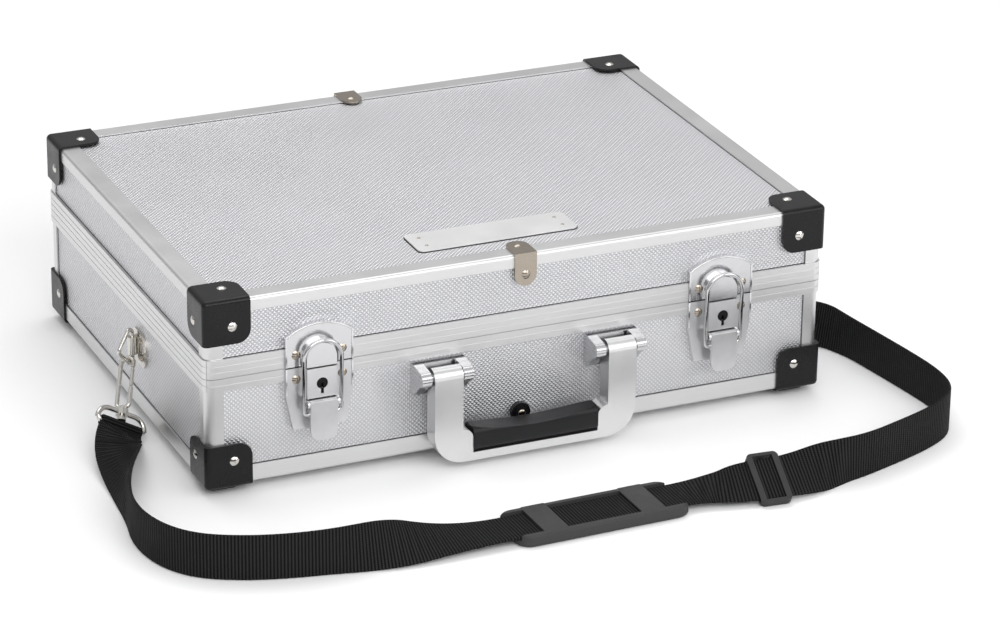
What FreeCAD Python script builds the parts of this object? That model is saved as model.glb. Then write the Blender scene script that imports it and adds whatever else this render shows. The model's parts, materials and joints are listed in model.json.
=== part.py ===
import FreeCAD, Part
import math
import os
import re

# Aluminium case with a hinged lid, two draw latches, a drop handle and a shoulder strap.
# Millimetres, +Z up. The origin is on the floor, under the middle of the case with its
# handle and hinges; +X runs along the front to the right and +Y to the rear.

V = FreeCAD.Vector

SIZES = {
    # shell
    "case_length": 425,
    "case_depth": 308,
    "base_height": 74,
    "lid_height": 50.7,
    "parting_gap": 0.3,
    "foot_height": 7,
    "corner_radius": 6,
    "edge_round": 2.4,
    "profile_wall": 1.2,
    "top_flange": 13,
    "lid_flange": 8.5,
    "bottom_flange": 12,
    "post_flange": 11.5,
    "post_core": 6.9,
    "mitre_gap": 0.2,
    "seat_gap": 0.1,
    "panel_thick": 4,
    "panel_end": 7,
    # rims
    "rim_proud": 1,
    "base_rim_height": 8.6,
    "lid_rim_height": 12.5,
    "rim_web": 1.2,
    "rim_groove": 0.25,
    "lid_web_rise": 5,
    "tongue_inset": 3,
    "tongue_wall": 1.4,
    "tongue_height": 4,
    # corner caps and feet
    "cap_wall": 1.5,
    "cap_length": 29.5,
    "cap_depth": 27.5,
    "cap_height": 28.5,
    "cap_round": 3.4,
    "cap_corner": 9,
    "rivet_radius": 3,
    "rivet_dome": 1.1,
    "shank_radius": 1.5,
    "shank_fit": 0.05,
    "cap_rivet_side": 17.5,
    "cap_rivet_rise": 17,
    "foot_size": 18,
    "foot_inset": 5,
    "foot_setback": 9,
    "foot_chamfer": 1.6,
    # lining
    "foam_inset": 7.4,
    "foam_wall": 8,
    "foam_floor": 10,
    "foam_drop": 2.5,
    "lid_foam": 16,
    # plate and edge clips on the lid
    "sheet_thick": 1.2,
    "plate_length": 110,
    "plate_width": 29,
    "plate_x": -3.5,
    "plate_setback": 28.5,
    "plate_round": 4,
    "pin_radius": 1.2,
    "pin_dome": 0.5,
    "clip_width": 15,
    "clip_top": 19.5,
    "clip_front": 21,
    "clip_x": 1.5,
    # latches
    "latch_x": 138.5,
    "latch_width": 45,
    "keeper_height": 28,
    "keeper_arch": 36,
    "plate_drop": 42,
    "plate_taper": 24,
    "plate_tip": 35,
    "boss_radius": 10,
    "boss_rise": 5.5,
    "boss_out": 4.6,
    "boss_step": 2,
    "split_gap": 0.6,
    "lock_width": 20,
    "lock_height": 20,
    "lock_out": 5,
    "plug_radius": 3.7,
    "plug_fit": 0.06,
    "key_slot": 1.9,
    "key_drop": 7,
    "plug_rise": 10.5,
    "lever_pin_radius": 1.4,
    "lever_pin_out": 6,
    "lever_gap": 3.4,
    "knuckle_wall": 1.1,
    "lever_width": 18,
    "lever_length": 24.5,
    "lever_rise": 1.7,
    "lever_round": 7,
    "lever_thick": 1.8,
    "ear_gap": 0.25,
    "ear_thick": 1.5,
    "bail_wire": 1.3,
    "bail_half": 12.5,
    "bail_drop": 7,
    "bail_back": 0.8,
    "bail_rise": 37,
    "bail_clear": 0.45,
    "pivot_fit": 0.06,
    # handle
    "handle_x": 1,
    "bracket_width": 35,
    "bracket_height": 20.5,
    "bracket_base": 6.5,
    "bracket_gap": 1.9,
    "cheek_width": 6.6,
    "pivot_drop": 6,
    "handle_out": 15,
    "barrel_radius": 5,
    "handle_pin": 2.5,
    "handle_width": 139,
    "arm_width": 19.3,
    "handle_thick": 13,
    "handle_low": 6,
    "handle_corner": 20,
    "rail_height": 5.5,
    "gusset_width": 7,
    "grip_height": 17,
    "grip_thick": 15,
    "grip_sag": 4,
    "grip_gap": 0.1,
    "bumper_radius": 6.5,
    "bumper_out": 5,
    "bumper_x": -1,
    "bumper_rise": 17,
    # hinges
    "hinge_x": 125,
    "hinge_width": 60,
    "hinge_leaf": 1.4,
    "base_leaf": 8.4,
    "lid_leaf": 10.5,
    "knuckle_radius": 2.75,
    "hinge_out": 2.9,
    "hinge_pin": 1.5,
    "knuckle_gap": 0.3,
    # strap rings
    "ring_setback": 21,
    "ring_plate_depth": 23,
    "ring_plate_height": 23,
    "ring_lift": 5.3,
    "ring_plate_arch": 14,
    "ring_rivet": 2,
    "ring_barrel": 3.2,
    "ring_wire": 1.4,
    "ring_over": 10,
    "barrel_height": 12,
    "ring_reach": 15,
    "ring_turn": 34,
    "ring_corner": 3,
    # snap hooks and strap loops
    "hook_wire": 1.5,
    "hook_half": 4.4,
    "hook_length": 31,
    "hook_seat": 8,
    "hook_turn": 63,
    "hook_dip": 39,
    "hook_clear": 0.2,
    "gate_wire": 1.2,
    "gate_length": 13,
    "gate_start": 3.5,
    "stud_radius": 2,
    "stud_length": 6.6,
    "stud_head": 3,
    "loop_wire": 1.75,
    "loop_half": 17.6,
    "loop_legs": 10,
    "loop_round": 8,
    "loop_boss": 4,
    "loop_boss_length": 4,
    # shoulder strap
    "strap_width": 30,
    "strap_thick": 1.8,
    "sleeve_gap": 0.35,
    "pad_length": 118,
    "pad_width": 40,
    "pad_thick": 4,
    "pad_gap": 0.35,
    "pad_round": 2,
    "band_length": 16.5,
    "band_setback": 17.5,
    "side_play": 1.2,
    "slider_length": 21,
    "slider_width": 37,
    "slider_bar": 4,
    "slider_round": 3.5,
}

doc = FreeCAD.newDocument("aluminium_case")
sheet = doc.addObject("Spreadsheet::Sheet", "Sizes")
for row, (alias, number) in enumerate(SIZES.items(), start=1):
    sheet.set(f"A{row}", alias)
    sheet.set(f"B{row}", str(number))
    sheet.setAlias(f"B{row}", alias)
doc.recompute()

nodes = {}


def size(alias):
    return float(sheet.get(alias))


def formula(text):
    """Point the size names of an expression at the sheet."""
    return re.sub(r"[a-z_]+", lambda m: "Sizes." + m[0] if m[0] in SIZES else m[0], text)


def bind(obj, **values):
    for prop, text in values.items():
        obj.setExpression(prop, formula(text))


def locate(obj, x, y, z):
    for axis, text in zip("xyz", (x, y, z)):
        obj.setExpression("Placement.Base." + axis, formula(text))
    return obj


# Faces and levels of the shell, as expressions and as numbers.
SHIFT = "((handle_out + grip_thick / 2 - rim_proud - hinge_out - knuckle_radius) / 2)"
FRONT = f"({SHIFT} - case_depth / 2)"
REAR = f"({SHIFT} + case_depth / 2)"
RIGHT = "(case_length / 2)"
FLOOR = "foot_height"
PART = "(foot_height + base_height)"
LID = "(foot_height + base_height + parting_gap)"
TOP = "(foot_height + base_height + parting_gap + lid_height)"
PANEL_FRONT = f"({FRONT} + profile_wall)"

shift = (size("handle_out") + size("grip_thick") / 2
         - size("rim_proud") - size("hinge_out") - size("knuckle_radius")) / 2
front = shift - size("case_depth") / 2
rear = shift + size("case_depth") / 2
right = size("case_length") / 2
floor = size("foot_height")
part = floor + size("base_height")
lid = part + size("parting_gap")
top = lid + size("lid_height")

UP = FreeCAD.Rotation()
ALONG_X = FreeCAD.Rotation(V(0, 1, 0), 90)
OUTWARD = FreeCAD.Rotation(V(1, 0, 0), 90)


def box(name, length, width, height, x, y, z):
    obj = doc.addObject("Part::Box", name)
    bind(obj, Length=length, Width=width, Height=height)
    return locate(obj, x, y, z)


def rod(name, turn, radius, length, x, y, z):
    obj = doc.addObject("Part::Cylinder", name)
    obj.Placement = FreeCAD.Placement(V(), turn)
    bind(obj, Radius=radius, Height=length)
    return locate(obj, x, y, z)


def fuse(name, *pieces):
    obj = doc.addObject("Part::MultiFuse", name)
    obj.Shapes = list(pieces)
    return obj


def cut(name, base, *tools):
    obj = doc.addObject("Part::Cut", name)
    obj.Base = base
    obj.Tool = tools[0] if len(tools) == 1 else fuse(name + "_tools", *tools)
    return obj


def common(name, *pieces):
    obj = doc.addObject("Part::MultiCommon", name)
    obj.Shapes = list(pieces)
    return obj


def mirror_x(name, source):
    obj = doc.addObject("Part::Mirroring", name)
    obj.Source = source
    obj.Normal = V(1, 0, 0)
    return obj


def mirror_y(name, source):
    """Mirror front to rear in the middle plane of the case."""
    obj = doc.addObject("Part::Mirroring", name)
    obj.Source = source
    obj.Normal = V(0, 1, 0)
    obj.setExpression("Base.y", formula(SHIFT))
    return obj


def group(name, *pieces):
    obj = doc.addObject("Part::Compound", name)
    obj.Links = list(pieces)
    return obj


def node(label, obj):
    obj.Label = label
    nodes[label] = obj
    return obj


def made(name, shape):
    """An object for a shape that is bent or turned in code."""
    obj = doc.addObject("Part::Feature", name)
    obj.Shape = shape
    return obj


def edges_where(obj, test):
    doc.recompute()
    found = [f"Edge{i}" for i, edge in enumerate(obj.Shape.Edges, start=1) if test(edge)]
    if not found:
        raise ValueError("no edge to round on " + obj.Name)
    return found


def upright(edge):
    return abs(edge.BoundBox.ZLength) > 1e-6 and edge.BoundBox.XLength + edge.BoundBox.YLength < 1e-6


def rounded(body, base, test, radius):
    fillet = body.newObject("PartDesign::Fillet", body.Name + "_round")
    fillet.Base = (base, edges_where(base, test))
    bind(fillet, Radius=radius)
    body.Tip = fillet
    return fillet


def block_body(name, length, width, height, x, y, z):
    body = doc.addObject("PartDesign::Body", name)
    block = body.newObject("PartDesign::AdditiveBox", name + "_block")
    bind(block, Length=length, Width=width, Height=height)
    body.Tip = block
    locate(body, x, y, z)
    doc.recompute()
    return body, block


def shell_block(name, grow, low, height, radius, soft_edge=None):
    """The case's outline, grown or shrunk, with round corners and one soft edge."""
    body, block = block_body(name, f"case_length + 2 * ({grow})", f"case_depth + 2 * ({grow})", height,
                             f"-case_length / 2 - ({grow})", f"{FRONT} - ({grow})", low)
    corner = rounded(body, block, upright, radius)
    if soft_edge:
        doc.recompute()
        limits = corner.Shape.BoundBox
        level = limits.ZMax if soft_edge == "top" else limits.ZMin
        rounded(body, corner, lambda edge: abs(edge.BoundBox.ZMin - level) < 1e-6
                and abs(edge.BoundBox.ZMax - level) < 1e-6, "edge_round")
    return body


def four(name, piece):
    """One corner piece and its three mirror images."""
    other = mirror_x(name + "_x", piece)
    return [piece, other, mirror_y(name + "_y", piece), mirror_y(name + "_xy", other)]


def mitres(name, low, height):
    """Thin diagonal slots that part a frame into four lengths at its corners."""
    slots = []
    for number, (sx, sy) in enumerate(((-1, -1), (1, -1), (1, 1), (-1, 1))):
        slot = doc.addObject("Part::Box", f"{name}_slot_{number}")
        angle = math.degrees(math.atan2(-sy, -sx))
        slot.Placement = FreeCAD.Placement(V(), FreeCAD.Rotation(V(0, 0, 1), angle))
        bind(slot, Length="top_flange * 2", Width="mitre_gap", Height=height)
        side = f"mitre_gap * {math.sqrt(0.125)}"
        y = FRONT if sy < 0 else REAR
        locate(slot, f"{sx} * ({RIGHT} + rim_proud) - ({sy}) * {side}",
               f"{y} + {sy} * rim_proud + ({sx}) * {side}", low)
        slots.append(slot)
    return slots


# Edge profiles, corner posts and panels of the two halves
def edge_frame(label, low, wall_height, soft_edge):
    """Four mitred angle lengths round the bottom or the top of the case."""
    outer = shell_block(label + "_outer", "0", low, wall_height, "corner_radius", soft_edge)
    inside_low = f"{low} + profile_wall" if soft_edge == "bottom" else f"{low} - profile_wall"
    inner = shell_block(label + "_inner", "-profile_wall", inside_low, wall_height,
                        "corner_radius - profile_wall")
    window = box(label + "_window", "case_length - 2 * top_flange", "case_depth - 2 * top_flange",
                 "3 * bottom_flange", "top_flange - case_length / 2", f"{FRONT} + top_flange",
                 f"{low} - bottom_flange")
    return node(label, cut(label, outer, inner, window, *mitres(label, f"{low} - 1", "2 * bottom_flange")))


def posts(label, low, height):
    """Corner posts: an angle with a solid core where two panels meet."""
    body, core = block_body(label + "_core", "post_core", "post_core", height,
                            "-case_length / 2", FRONT, low)
    rounded(body, core, lambda edge: upright(edge) and edge.BoundBox.XMin + edge.BoundBox.YMin < 1e-6,
            "corner_radius")
    reach = "post_flange - post_core"
    face = box(label + "_face", reach, "profile_wall", height, "post_core - case_length / 2", FRONT, low)
    side = box(label + "_side", "profile_wall", reach, height,
               "-case_length / 2", f"{FRONT} + post_core", low)
    return node(label, group(label, *four(label, fuse(label + "_one", body, face, side))))


def walls(label, low, height):
    """Front, rear and side panels, which stand behind the flanges of the profiles."""
    long_wall = box(label + "_front", "case_length - 2 * panel_end", "panel_thick", height,
                    "panel_end - case_length / 2", PANEL_FRONT, low)
    short_wall = box(label + "_left", "panel_thick", "case_depth - 2 * panel_end", height,
                     "profile_wall - case_length / 2", f"{FRONT} + panel_end", low)
    return node(label, group(label, long_wall, mirror_y(label + "_rear", long_wall),
                             short_wall, mirror_x(label + "_right", short_wall)))


def flat_panel(label, low):
    inset = "(profile_wall + panel_thick + 2 * seat_gap)"
    return node(label, box(label, f"case_length - 2 * {inset}", f"case_depth - 2 * {inset}", "panel_thick",
                           f"{inset} - case_length / 2", f"{FRONT} + {inset}", low))


edge_frame("base_bottom_profiles", FLOOR, "bottom_flange", "bottom")
edge_frame("lid_top_profiles", f"({TOP} - lid_flange)", "lid_flange", "top")
posts("base_corner_posts", f"{FLOOR} + bottom_flange + seat_gap",
      "base_height - bottom_flange - base_rim_height - 2 * seat_gap")
posts("lid_corner_posts", f"{LID} + lid_rim_height + seat_gap",
      "lid_height - lid_rim_height - lid_flange - 2 * seat_gap")
WALL_LOW = f"({FLOOR} + profile_wall + seat_gap)"
walls("base_wall_panels", WALL_LOW, "base_height - profile_wall - rim_web - 2 * seat_gap")
LID_WALL_LOW = f"({LID} + lid_web_rise + rim_web + seat_gap)"
walls("lid_wall_panels", LID_WALL_LOW, "lid_height - lid_web_rise - rim_web - profile_wall - 2 * seat_gap")
flat_panel("base_bottom_panel", WALL_LOW)
flat_panel("lid_top_panel", f"{TOP} - profile_wall - seat_gap - panel_thick")


# Ribbed rim profiles on both sides of the parting line
def rim(label, low, height, web_low, grooves):
    outer = shell_block(label + "_outer", "rim_proud", low, height, "corner_radius + rim_proud")
    face = shell_block(label + "_face", "-profile_wall", f"{low} - 1", f"{height} + 2",
                       "corner_radius - profile_wall")
    web = shell_block(label + "_web", "-profile_wall", web_low, "rim_web", "corner_radius - profile_wall")
    window_inset = "(profile_wall + panel_thick + 4 * seat_gap)"
    window = box(label + "_window", f"case_length - 2 * {window_inset}", f"case_depth - 2 * {window_inset}",
                 "2 * rim_web", f"{window_inset} - case_length / 2", f"{FRONT} + {window_inset}",
                 f"{web_low} - rim_web / 2")
    cuts = []
    for number in range(grooves):
        level = f"({low} + ({height}) * {number + 1} / {grooves + 1})"
        ring = shell_block(f"{label}_ring_{number}", "rim_proud + 1", f"{level} - rim_groove",
                           "2 * rim_groove", "corner_radius + rim_proud + 1")
        keep = shell_block(f"{label}_keep_{number}", "rim_proud - rim_groove", f"{level} - 1",
                           "2 + 2 * rim_groove", "corner_radius + rim_proud - rim_groove")
        cuts.append(cut(f"{label}_groove_{number}", ring, keep))
    band = cut(label + "_band", outer, face, *cuts)
    return fuse(label + "_bar", band, cut(label + "_flange", web, window))


base_bar = rim("base_rim", f"({PART} - base_rim_height)", "base_rim_height", f"({PART} - rim_web)", 1)
tongue_out = shell_block("tongue_out", "-tongue_inset", PART, "tongue_height", "corner_radius - tongue_inset")
tongue_in = shell_block("tongue_in", "-(tongue_inset + tongue_wall)", f"{PART} - 1", "tongue_height + 2",
                        "corner_radius - tongue_inset - tongue_wall")
tongue = cut("tongue", tongue_out, tongue_in)
node("base_rim_profiles", cut("base_rim_profiles", fuse("base_rim_bar_tongue", base_bar, tongue),
                              *mitres("base_rim", f"{PART} - base_rim_height - 1",
                                      "base_rim_height + tongue_height + 2")))
lid_bar = rim("lid_rim", LID, "lid_rim_height", f"({LID} + lid_web_rise)", 2)
node("lid_rim_profiles", cut("lid_rim_profiles", lid_bar,
                             *mitres("lid_rim", f"{LID} - 1", "lid_rim_height + 2")))


# Rivets, turned once and set at each place with their heads along a direction
def rivet(radius, dome, shank_length):
    shank = size("shank_radius") if shank_length else 0
    ball = (radius ** 2 + dome ** 2) / (2 * dome)
    crown = Part.Arc(V(radius, 0, 0), V(ball * math.sin(math.asin(radius / ball) / 2), 0,
                     dome - ball + ball * math.cos(math.asin(radius / ball) / 2)), V(0, 0, dome)).toShape()
    outline = [V(0, 0, dome), V(0, 0, -shank_length)]
    if shank_length:
        outline += [V(shank, 0, -shank_length), V(shank, 0, 0)]
    outline.append(V(radius, 0, 0))
    if not shank_length:
        outline[1] = V(0, 0, 0)
    wire = Part.Wire([crown] + Part.makePolygon(outline).Edges)
    return Part.Face(Part.Wire(Part.__sortEdges__(wire.Edges))).revolve(V(), V(0, 0, 1), 360)


def rivets_at(places, radius, shank_length):
    one = rivet(radius, size("rivet_dome"), shank_length)
    heads = []
    for place, direction in places:
        head = one.copy()
        head.Placement = FreeCAD.Placement(place, FreeCAD.Rotation(V(0, 0, 1), direction))
        heads.append(head)
    return heads


def set_rivets(label, *heads):
    return node(label, made(label, Part.makeCompound(sum(heads, []))))


def rivet_holes(name, places, depth):
    radius = size("shank_radius") + size("shank_fit")
    holes = [Part.makeCylinder(radius, 2 * depth, place - direction * depth, direction)
             for place, direction in places]
    return made(name, Part.makeCompound(holes))


def all_corners(places):
    """A place on the left front corner and its mirror images in both middle planes."""
    found = []
    for place, direction in places:
        for sx in (1, -1):
            for sy in (1, -1):
                spot = V(place.x * sx, shift + (place.y - shift) * sy, place.z)
                found.append((spot, V(direction.x * sx, direction.y * sy, direction.z)))
    return found


# Moulded corner caps, one flange on each of three faces
cap_wall = size("cap_wall")
side_run = right - size("cap_rivet_side")
face_run = front + size("cap_rivet_side")
OUT = V(0, -1, 0)
LEFTWARD = V(-1, 0, 0)


def caps(label, low, block, places):
    body, solid = block_body(label + "_outer", "cap_length + cap_wall", "cap_depth + cap_wall",
                             "cap_height + cap_wall", "-case_length / 2 - cap_wall",
                             f"{FRONT} - cap_wall", low)
    box_of = solid.Shape.BoundBox
    level = box_of.ZMin if "base" in label else box_of.ZMax

    def at(edge, axis, outer):
        """True for the edge along one axis on the outer or the free side of the cap."""
        spot = edge.CenterOfGravity
        ends = {"X": abs(spot.x - box_of.XMin), "Y": abs(spot.y - box_of.YMin), "Z": abs(spot.z - level)}
        long = {"X": edge.BoundBox.XLength, "Y": edge.BoundBox.YLength, "Z": edge.BoundBox.ZLength}[axis] > 1
        others = [ends[key] for key in ends if key != axis]
        return long and (max(others) < 1e-6 if outer else min(others) > 1)

    free = rounded(body, solid, lambda edge: any(at(edge, axis, False) for axis in "XYZ"), "cap_corner")
    rounded(body, free, lambda edge: any(at(edge, axis, True) for axis in "XYZ"), "cap_round")
    hollow = cut(label + "_hollow", body, block, rivet_holes(label + "_holes", places, cap_wall))
    node(label, group(label, *four(label, hollow)))


base_solid = shell_block("base_solid", "0", FLOOR, "base_height", "corner_radius", "bottom")
lid_solid = shell_block("lid_solid", "0", LID, "lid_height", "corner_radius", "top")
base_level = floor + size("cap_rivet_rise")
lid_level = top - size("cap_rivet_rise")
cap_front = V(-side_run, front - cap_wall, base_level)
cap_side = V(-right - cap_wall, face_run, base_level)
base_rivets = [(cap_front, OUT), (cap_side, LEFTWARD)]
lid_rivets = [(V(cap_front.x, cap_front.y, lid_level), OUT), (V(cap_side.x, cap_side.y, lid_level), LEFTWARD),
              (V(-side_run, face_run, top + cap_wall), V(0, 0, 1))]
caps("base_corner_caps", f"{FLOOR} - cap_wall", base_solid, base_rivets)
caps("lid_corner_caps", f"{TOP} - cap_height", lid_solid, lid_rivets)
rivet_head = size("rivet_radius")
set_rivets("base_cap_rivets", rivets_at(all_corners(base_rivets), rivet_head, cap_wall))
set_rivets("lid_cap_rivets", rivets_at(all_corners(lid_rivets), rivet_head, cap_wall))

foot_body, foot_block = block_body("foot", "foot_size", "foot_size", "foot_height - cap_wall",
                                   "foot_inset - case_length / 2", f"{FRONT} + foot_setback", "0")
foot_chamfer = foot_body.newObject("PartDesign::Chamfer", "foot_chamfer_edge")
foot_chamfer.Base = (foot_block, edges_where(foot_block, lambda edge: edge.BoundBox.ZMax < 1e-6))
bind(foot_chamfer, Size="foot_chamfer")
foot_body.Tip = foot_chamfer
node("rubber_feet", group("rubber_feet", *four("foot", foot_body)))

# Foam lining: a tray in the base and a slab in the lid
tray = box("tray", "case_length - 2 * foam_inset", "case_depth - 2 * foam_inset",
           "base_height - profile_wall - panel_thick - 2 * seat_gap - foam_drop",
           "foam_inset - case_length / 2", f"{FRONT} + foam_inset", f"{WALL_LOW} + panel_thick + seat_gap")
hollow_inset = "(foam_inset + foam_wall)"
tray_hollow = box("tray_hollow", f"case_length - 2 * {hollow_inset}", f"case_depth - 2 * {hollow_inset}",
                  "base_height", f"{hollow_inset} - case_length / 2", f"{FRONT} + {hollow_inset}",
                  f"{WALL_LOW} + panel_thick + seat_gap + foam_floor")
node("base_foam_tray", cut("base_foam_tray", tray, tray_hollow))
node("lid_foam_slab", box("lid_foam_slab", "case_length - 2 * foam_inset", "case_depth - 2 * foam_inset",
                          "lid_foam", "foam_inset - case_length / 2", f"{FRONT} + foam_inset",
                          f"{TOP} - profile_wall - panel_thick - 2 * seat_gap - lid_foam"))

# Blank name plate, its pins and the two edge clips on the lid
plate_body, plate_block = block_body("name_plate_body", "plate_length", "plate_width", "sheet_thick",
                                     "plate_x - plate_length / 2", f"{FRONT} + plate_setback",
                                     f"{TOP} - profile_wall - seat_gap")
rounded(plate_body, plate_block, upright, "plate_round")
node("name_plate", plate_body)
pin_head = rivet(size("pin_radius"), size("pin_dome"), 0)
pin_spots = []
for side in (-1, 1):
    for row in (-1, 1):
        pin = pin_head.copy()
        pin.translate(V(size("plate_x") + side * (size("plate_length") / 2 - 2 * size("plate_round")),
                        front + size("plate_setback") + size("plate_width") / 2
                        + row * (size("plate_width") / 2 - 2 * size("plate_round")),
                        top - size("profile_wall") - size("seat_gap") + size("sheet_thick")))
        pin_spots.append(pin)
node("name_plate_pins", made("name_plate_pins", Part.makeCompound(pin_spots)))

clip_out = f"{FRONT} - sheet_thick"
clip_half = size("clip_width") / 2
clip_above = V(size("clip_x"), front + size("clip_top") - clip_half, top + size("sheet_thick"))
clip_ahead = V(size("clip_x"), front - size("sheet_thick"), top - size("clip_front") + clip_half)
clip_ends = [(clip_above, V(0, 0, 1)), (clip_ahead, OUT)]
clip = fuse("clip_strip",
            box("clip_over", "clip_width", "clip_top - clip_width / 2 + sheet_thick", "sheet_thick",
                "clip_x - clip_width / 2", clip_out, TOP),
            rod("clip_over_end", UP, "clip_width / 2", "sheet_thick", "clip_x",
                f"{FRONT} + clip_top - clip_width / 2", TOP),
            box("clip_down", "clip_width", "sheet_thick", "clip_front - clip_width / 2",
                "clip_x - clip_width / 2", clip_out, f"{TOP} - clip_front + clip_width / 2"),
            rod("clip_down_end", OUTWARD, "clip_width / 2", "sheet_thick", "clip_x", FRONT,
                f"{TOP} - clip_front + clip_width / 2"))
clip = cut("front_edge_clip", clip, rivet_holes("clip_holes", clip_ends, size("sheet_thick")))
node("front_edge_clip", clip)
node("rear_edge_clip", mirror_y("rear_edge_clip", clip))

# Draw latches, made on the left and mirrored to the right
PLATE_OUT = f"({FRONT} - rim_proud - sheet_thick)"
LATCH = "(-latch_x)"
KEEP_LOW = f"({LID} + split_gap / 2)"
PLATE_TOP = f"({PART} - split_gap / 2)"
LEVER_Z = f"({PLATE_TOP} - lock_height - lever_gap)"
LEVER_Y = f"({PLATE_OUT} - lever_pin_out)"
BAIL_Z = f"({LEVER_Z} - bail_drop)"
BAIL_Y = f"({LEVER_Y} + bail_back)"
plate_out = front - size("rim_proud") - size("sheet_thick")
keep_low = lid + size("split_gap") / 2
plate_top = part - size("split_gap") / 2
lever_z = plate_top - size("lock_height") - size("lever_gap")
half_plate = size("latch_width") / 2
rivet_in = half_plate - 2.4 * rivet_head


def pair(label, left):
    """Name a piece of the left side and its mirror image on the right."""
    node("left_" + label, left)
    node("right_" + label, mirror_x("right_" + label, left))


def latch_spots(level):
    return [(V(-size("latch_x") + side * rivet_in, plate_out, level), OUT) for side in (-1, 1)]


keeper_spots = latch_spots(keep_low + 2.6 * rivet_head)
plate_spots = latch_spots(plate_top - 2.6 * rivet_head)
sheet_hole = size("sheet_thick")
keeper_flat = fuse("keeper_flat",
                   box("keeper_sheet", "latch_width", "sheet_thick", "keeper_height",
                       f"{LATCH} - latch_width / 2", PLATE_OUT, KEEP_LOW),
                   box("keeper_back", "latch_width", "rim_proud + profile_wall",
                       f"{KEEP_LOW} + keeper_height - {LID} - lid_rim_height - seat_gap",
                       f"{LATCH} - latch_width / 2", f"{FRONT} - rim_proud",
                       f"{LID} + lid_rim_height + seat_gap"))
keeper_arch = rod("keeper_arch", OUTWARD, "keeper_arch", "4 * panel_thick", LATCH,
                  f"{FRONT} + panel_thick", f"{KEEP_LOW} + keeper_height - keeper_arch")


def d_shape(name, radius, out):
    """A boss with a round head and a straight foot, standing out of the keeper plate."""
    return fuse(name,
                common(name + "_dome",
                       rod(name + "_round", OUTWARD, radius, out, LATCH, PLATE_OUT,
                           f"{KEEP_LOW} + boss_rise"),
                       box(name + "_above", f"2 * {radius}", out, f"2 * {radius}", f"{LATCH} - {radius}",
                           f"{PLATE_OUT} - {out}", f"{KEEP_LOW} + boss_rise")),
                box(name + "_foot", f"2 * {radius}", out, "boss_rise", f"{LATCH} - {radius}",
                    f"{PLATE_OUT} - {out}", KEEP_LOW))


keeper_boss = fuse("keeper_boss", d_shape("boss", "boss_radius", "boss_out"),
                   d_shape("boss_step", "(boss_radius + boss_step)", "boss_out / 2"))
pair("latch_keeper", cut("left_latch_keeper",
                         fuse("keeper_whole", common("keeper_plate", keeper_flat, keeper_arch), keeper_boss),
                         rivet_holes("keeper_holes", keeper_spots, sheet_hole)))


def tapered(name, thick, y):
    """The lower end of a latch plate, which narrows to its tip."""
    wedge = doc.addObject("Part::Wedge", name)
    wedge.Placement = FreeCAD.Placement(V(), FreeCAD.Rotation(V(1, 0, 0), -90))
    bind(wedge, Xmin="-latch_width / 2", Xmax="latch_width / 2", X2min="-plate_tip / 2",
         X2max="plate_tip / 2", Ymin="0", Ymax="plate_taper", Zmin="0", Zmax=thick, Z2min="0", Z2max=thick)
    return locate(wedge, LATCH, y, f"{PLATE_TOP} - plate_drop + plate_taper")


ear_radius = "(lever_pin_radius + knuckle_wall)"


def ear(name, x):
    return fuse(name,
                box(name + "_web", "ear_thick", "lever_pin_out", f"2 * {ear_radius}", x, LEVER_Y,
                    f"{LEVER_Z} - {ear_radius}"),
                rod(name + "_eye", ALONG_X, ear_radius, "ear_thick", x, LEVER_Y, LEVER_Z))


straight_low = f"({PLATE_TOP} - plate_drop + plate_taper)"
plate_whole = fuse("latch_plate_whole",
                   box("latch_sheet", "latch_width", "sheet_thick", "plate_drop - plate_taper",
                       f"{LATCH} - latch_width / 2", PLATE_OUT, straight_low),
                   box("latch_back", "latch_width", "rim_proud + profile_wall",
                       f"{PART} - base_rim_height - seat_gap - {straight_low}",
                       f"{LATCH} - latch_width / 2", f"{FRONT} - rim_proud", straight_low),
                   tapered("latch_tip", "sheet_thick", PLATE_OUT),
                   tapered("latch_tip_back", "rim_proud + profile_wall", f"{FRONT} - rim_proud"),
                   ear("left_ear", f"{LATCH} - lever_width / 2 - ear_gap - ear_thick"),
                   ear("right_ear", f"{LATCH} + lever_width / 2 + ear_gap"))
pin_span = "(lever_width + 2 * ear_gap + 2 * ear_thick)"
pair("latch_plate", cut("left_latch_plate", plate_whole,
                        rivet_holes("plate_holes", plate_spots, sheet_hole),
                        rod("ear_bore", ALONG_X, "lever_pin_radius + shank_fit", pin_span,
                            f"{LATCH} - {pin_span} / 2", LEVER_Y, LEVER_Z)))
lever_pin = rod("lever_pin", ALONG_X, "lever_pin_radius", pin_span,
                f"{LATCH} - {pin_span} / 2", LEVER_Y, LEVER_Z)
node("latch_lever_pins", group("latch_lever_pins", lever_pin, mirror_x("lever_pin_right", lever_pin)))

PLUG_Z = f"({PLATE_TOP} - plug_rise)"
pair("lock_housing",
     cut("left_lock_housing",
         box("lock_block", "lock_width", "lock_out", "lock_height", f"{LATCH} - lock_width / 2",
             f"{PLATE_OUT} - lock_out", f"{PLATE_TOP} - lock_height"),
         rod("plug_bore", OUTWARD, "plug_radius + plug_fit", "lock_out", LATCH, PLATE_OUT, PLUG_Z),
         box("key_slot_cut", "key_slot", "lock_out", "key_drop", f"{LATCH} - key_slot / 2",
             f"{PLATE_OUT} - lock_out", f"{PLUG_Z} - key_drop")))
pair("lock_plug",
     cut("left_lock_plug",
         rod("plug_barrel", OUTWARD, "plug_radius", "lock_out - rim_groove - seat_gap", LATCH,
             f"{PLATE_OUT} - seat_gap", PLUG_Z),
         box("keyway", "key_slot", "lock_out / 2", "plug_radius", f"{LATCH} - key_slot / 2",
             f"{PLATE_OUT} - lock_out", f"{PLUG_Z} - plug_radius")))

FLAP_Y = f"({LEVER_Y} - {ear_radius})"


def eyelet(name, x):
    return rod(name, ALONG_X, "bail_wire + knuckle_wall", "lever_width / 4", x, BAIL_Y, BAIL_Z)


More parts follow.
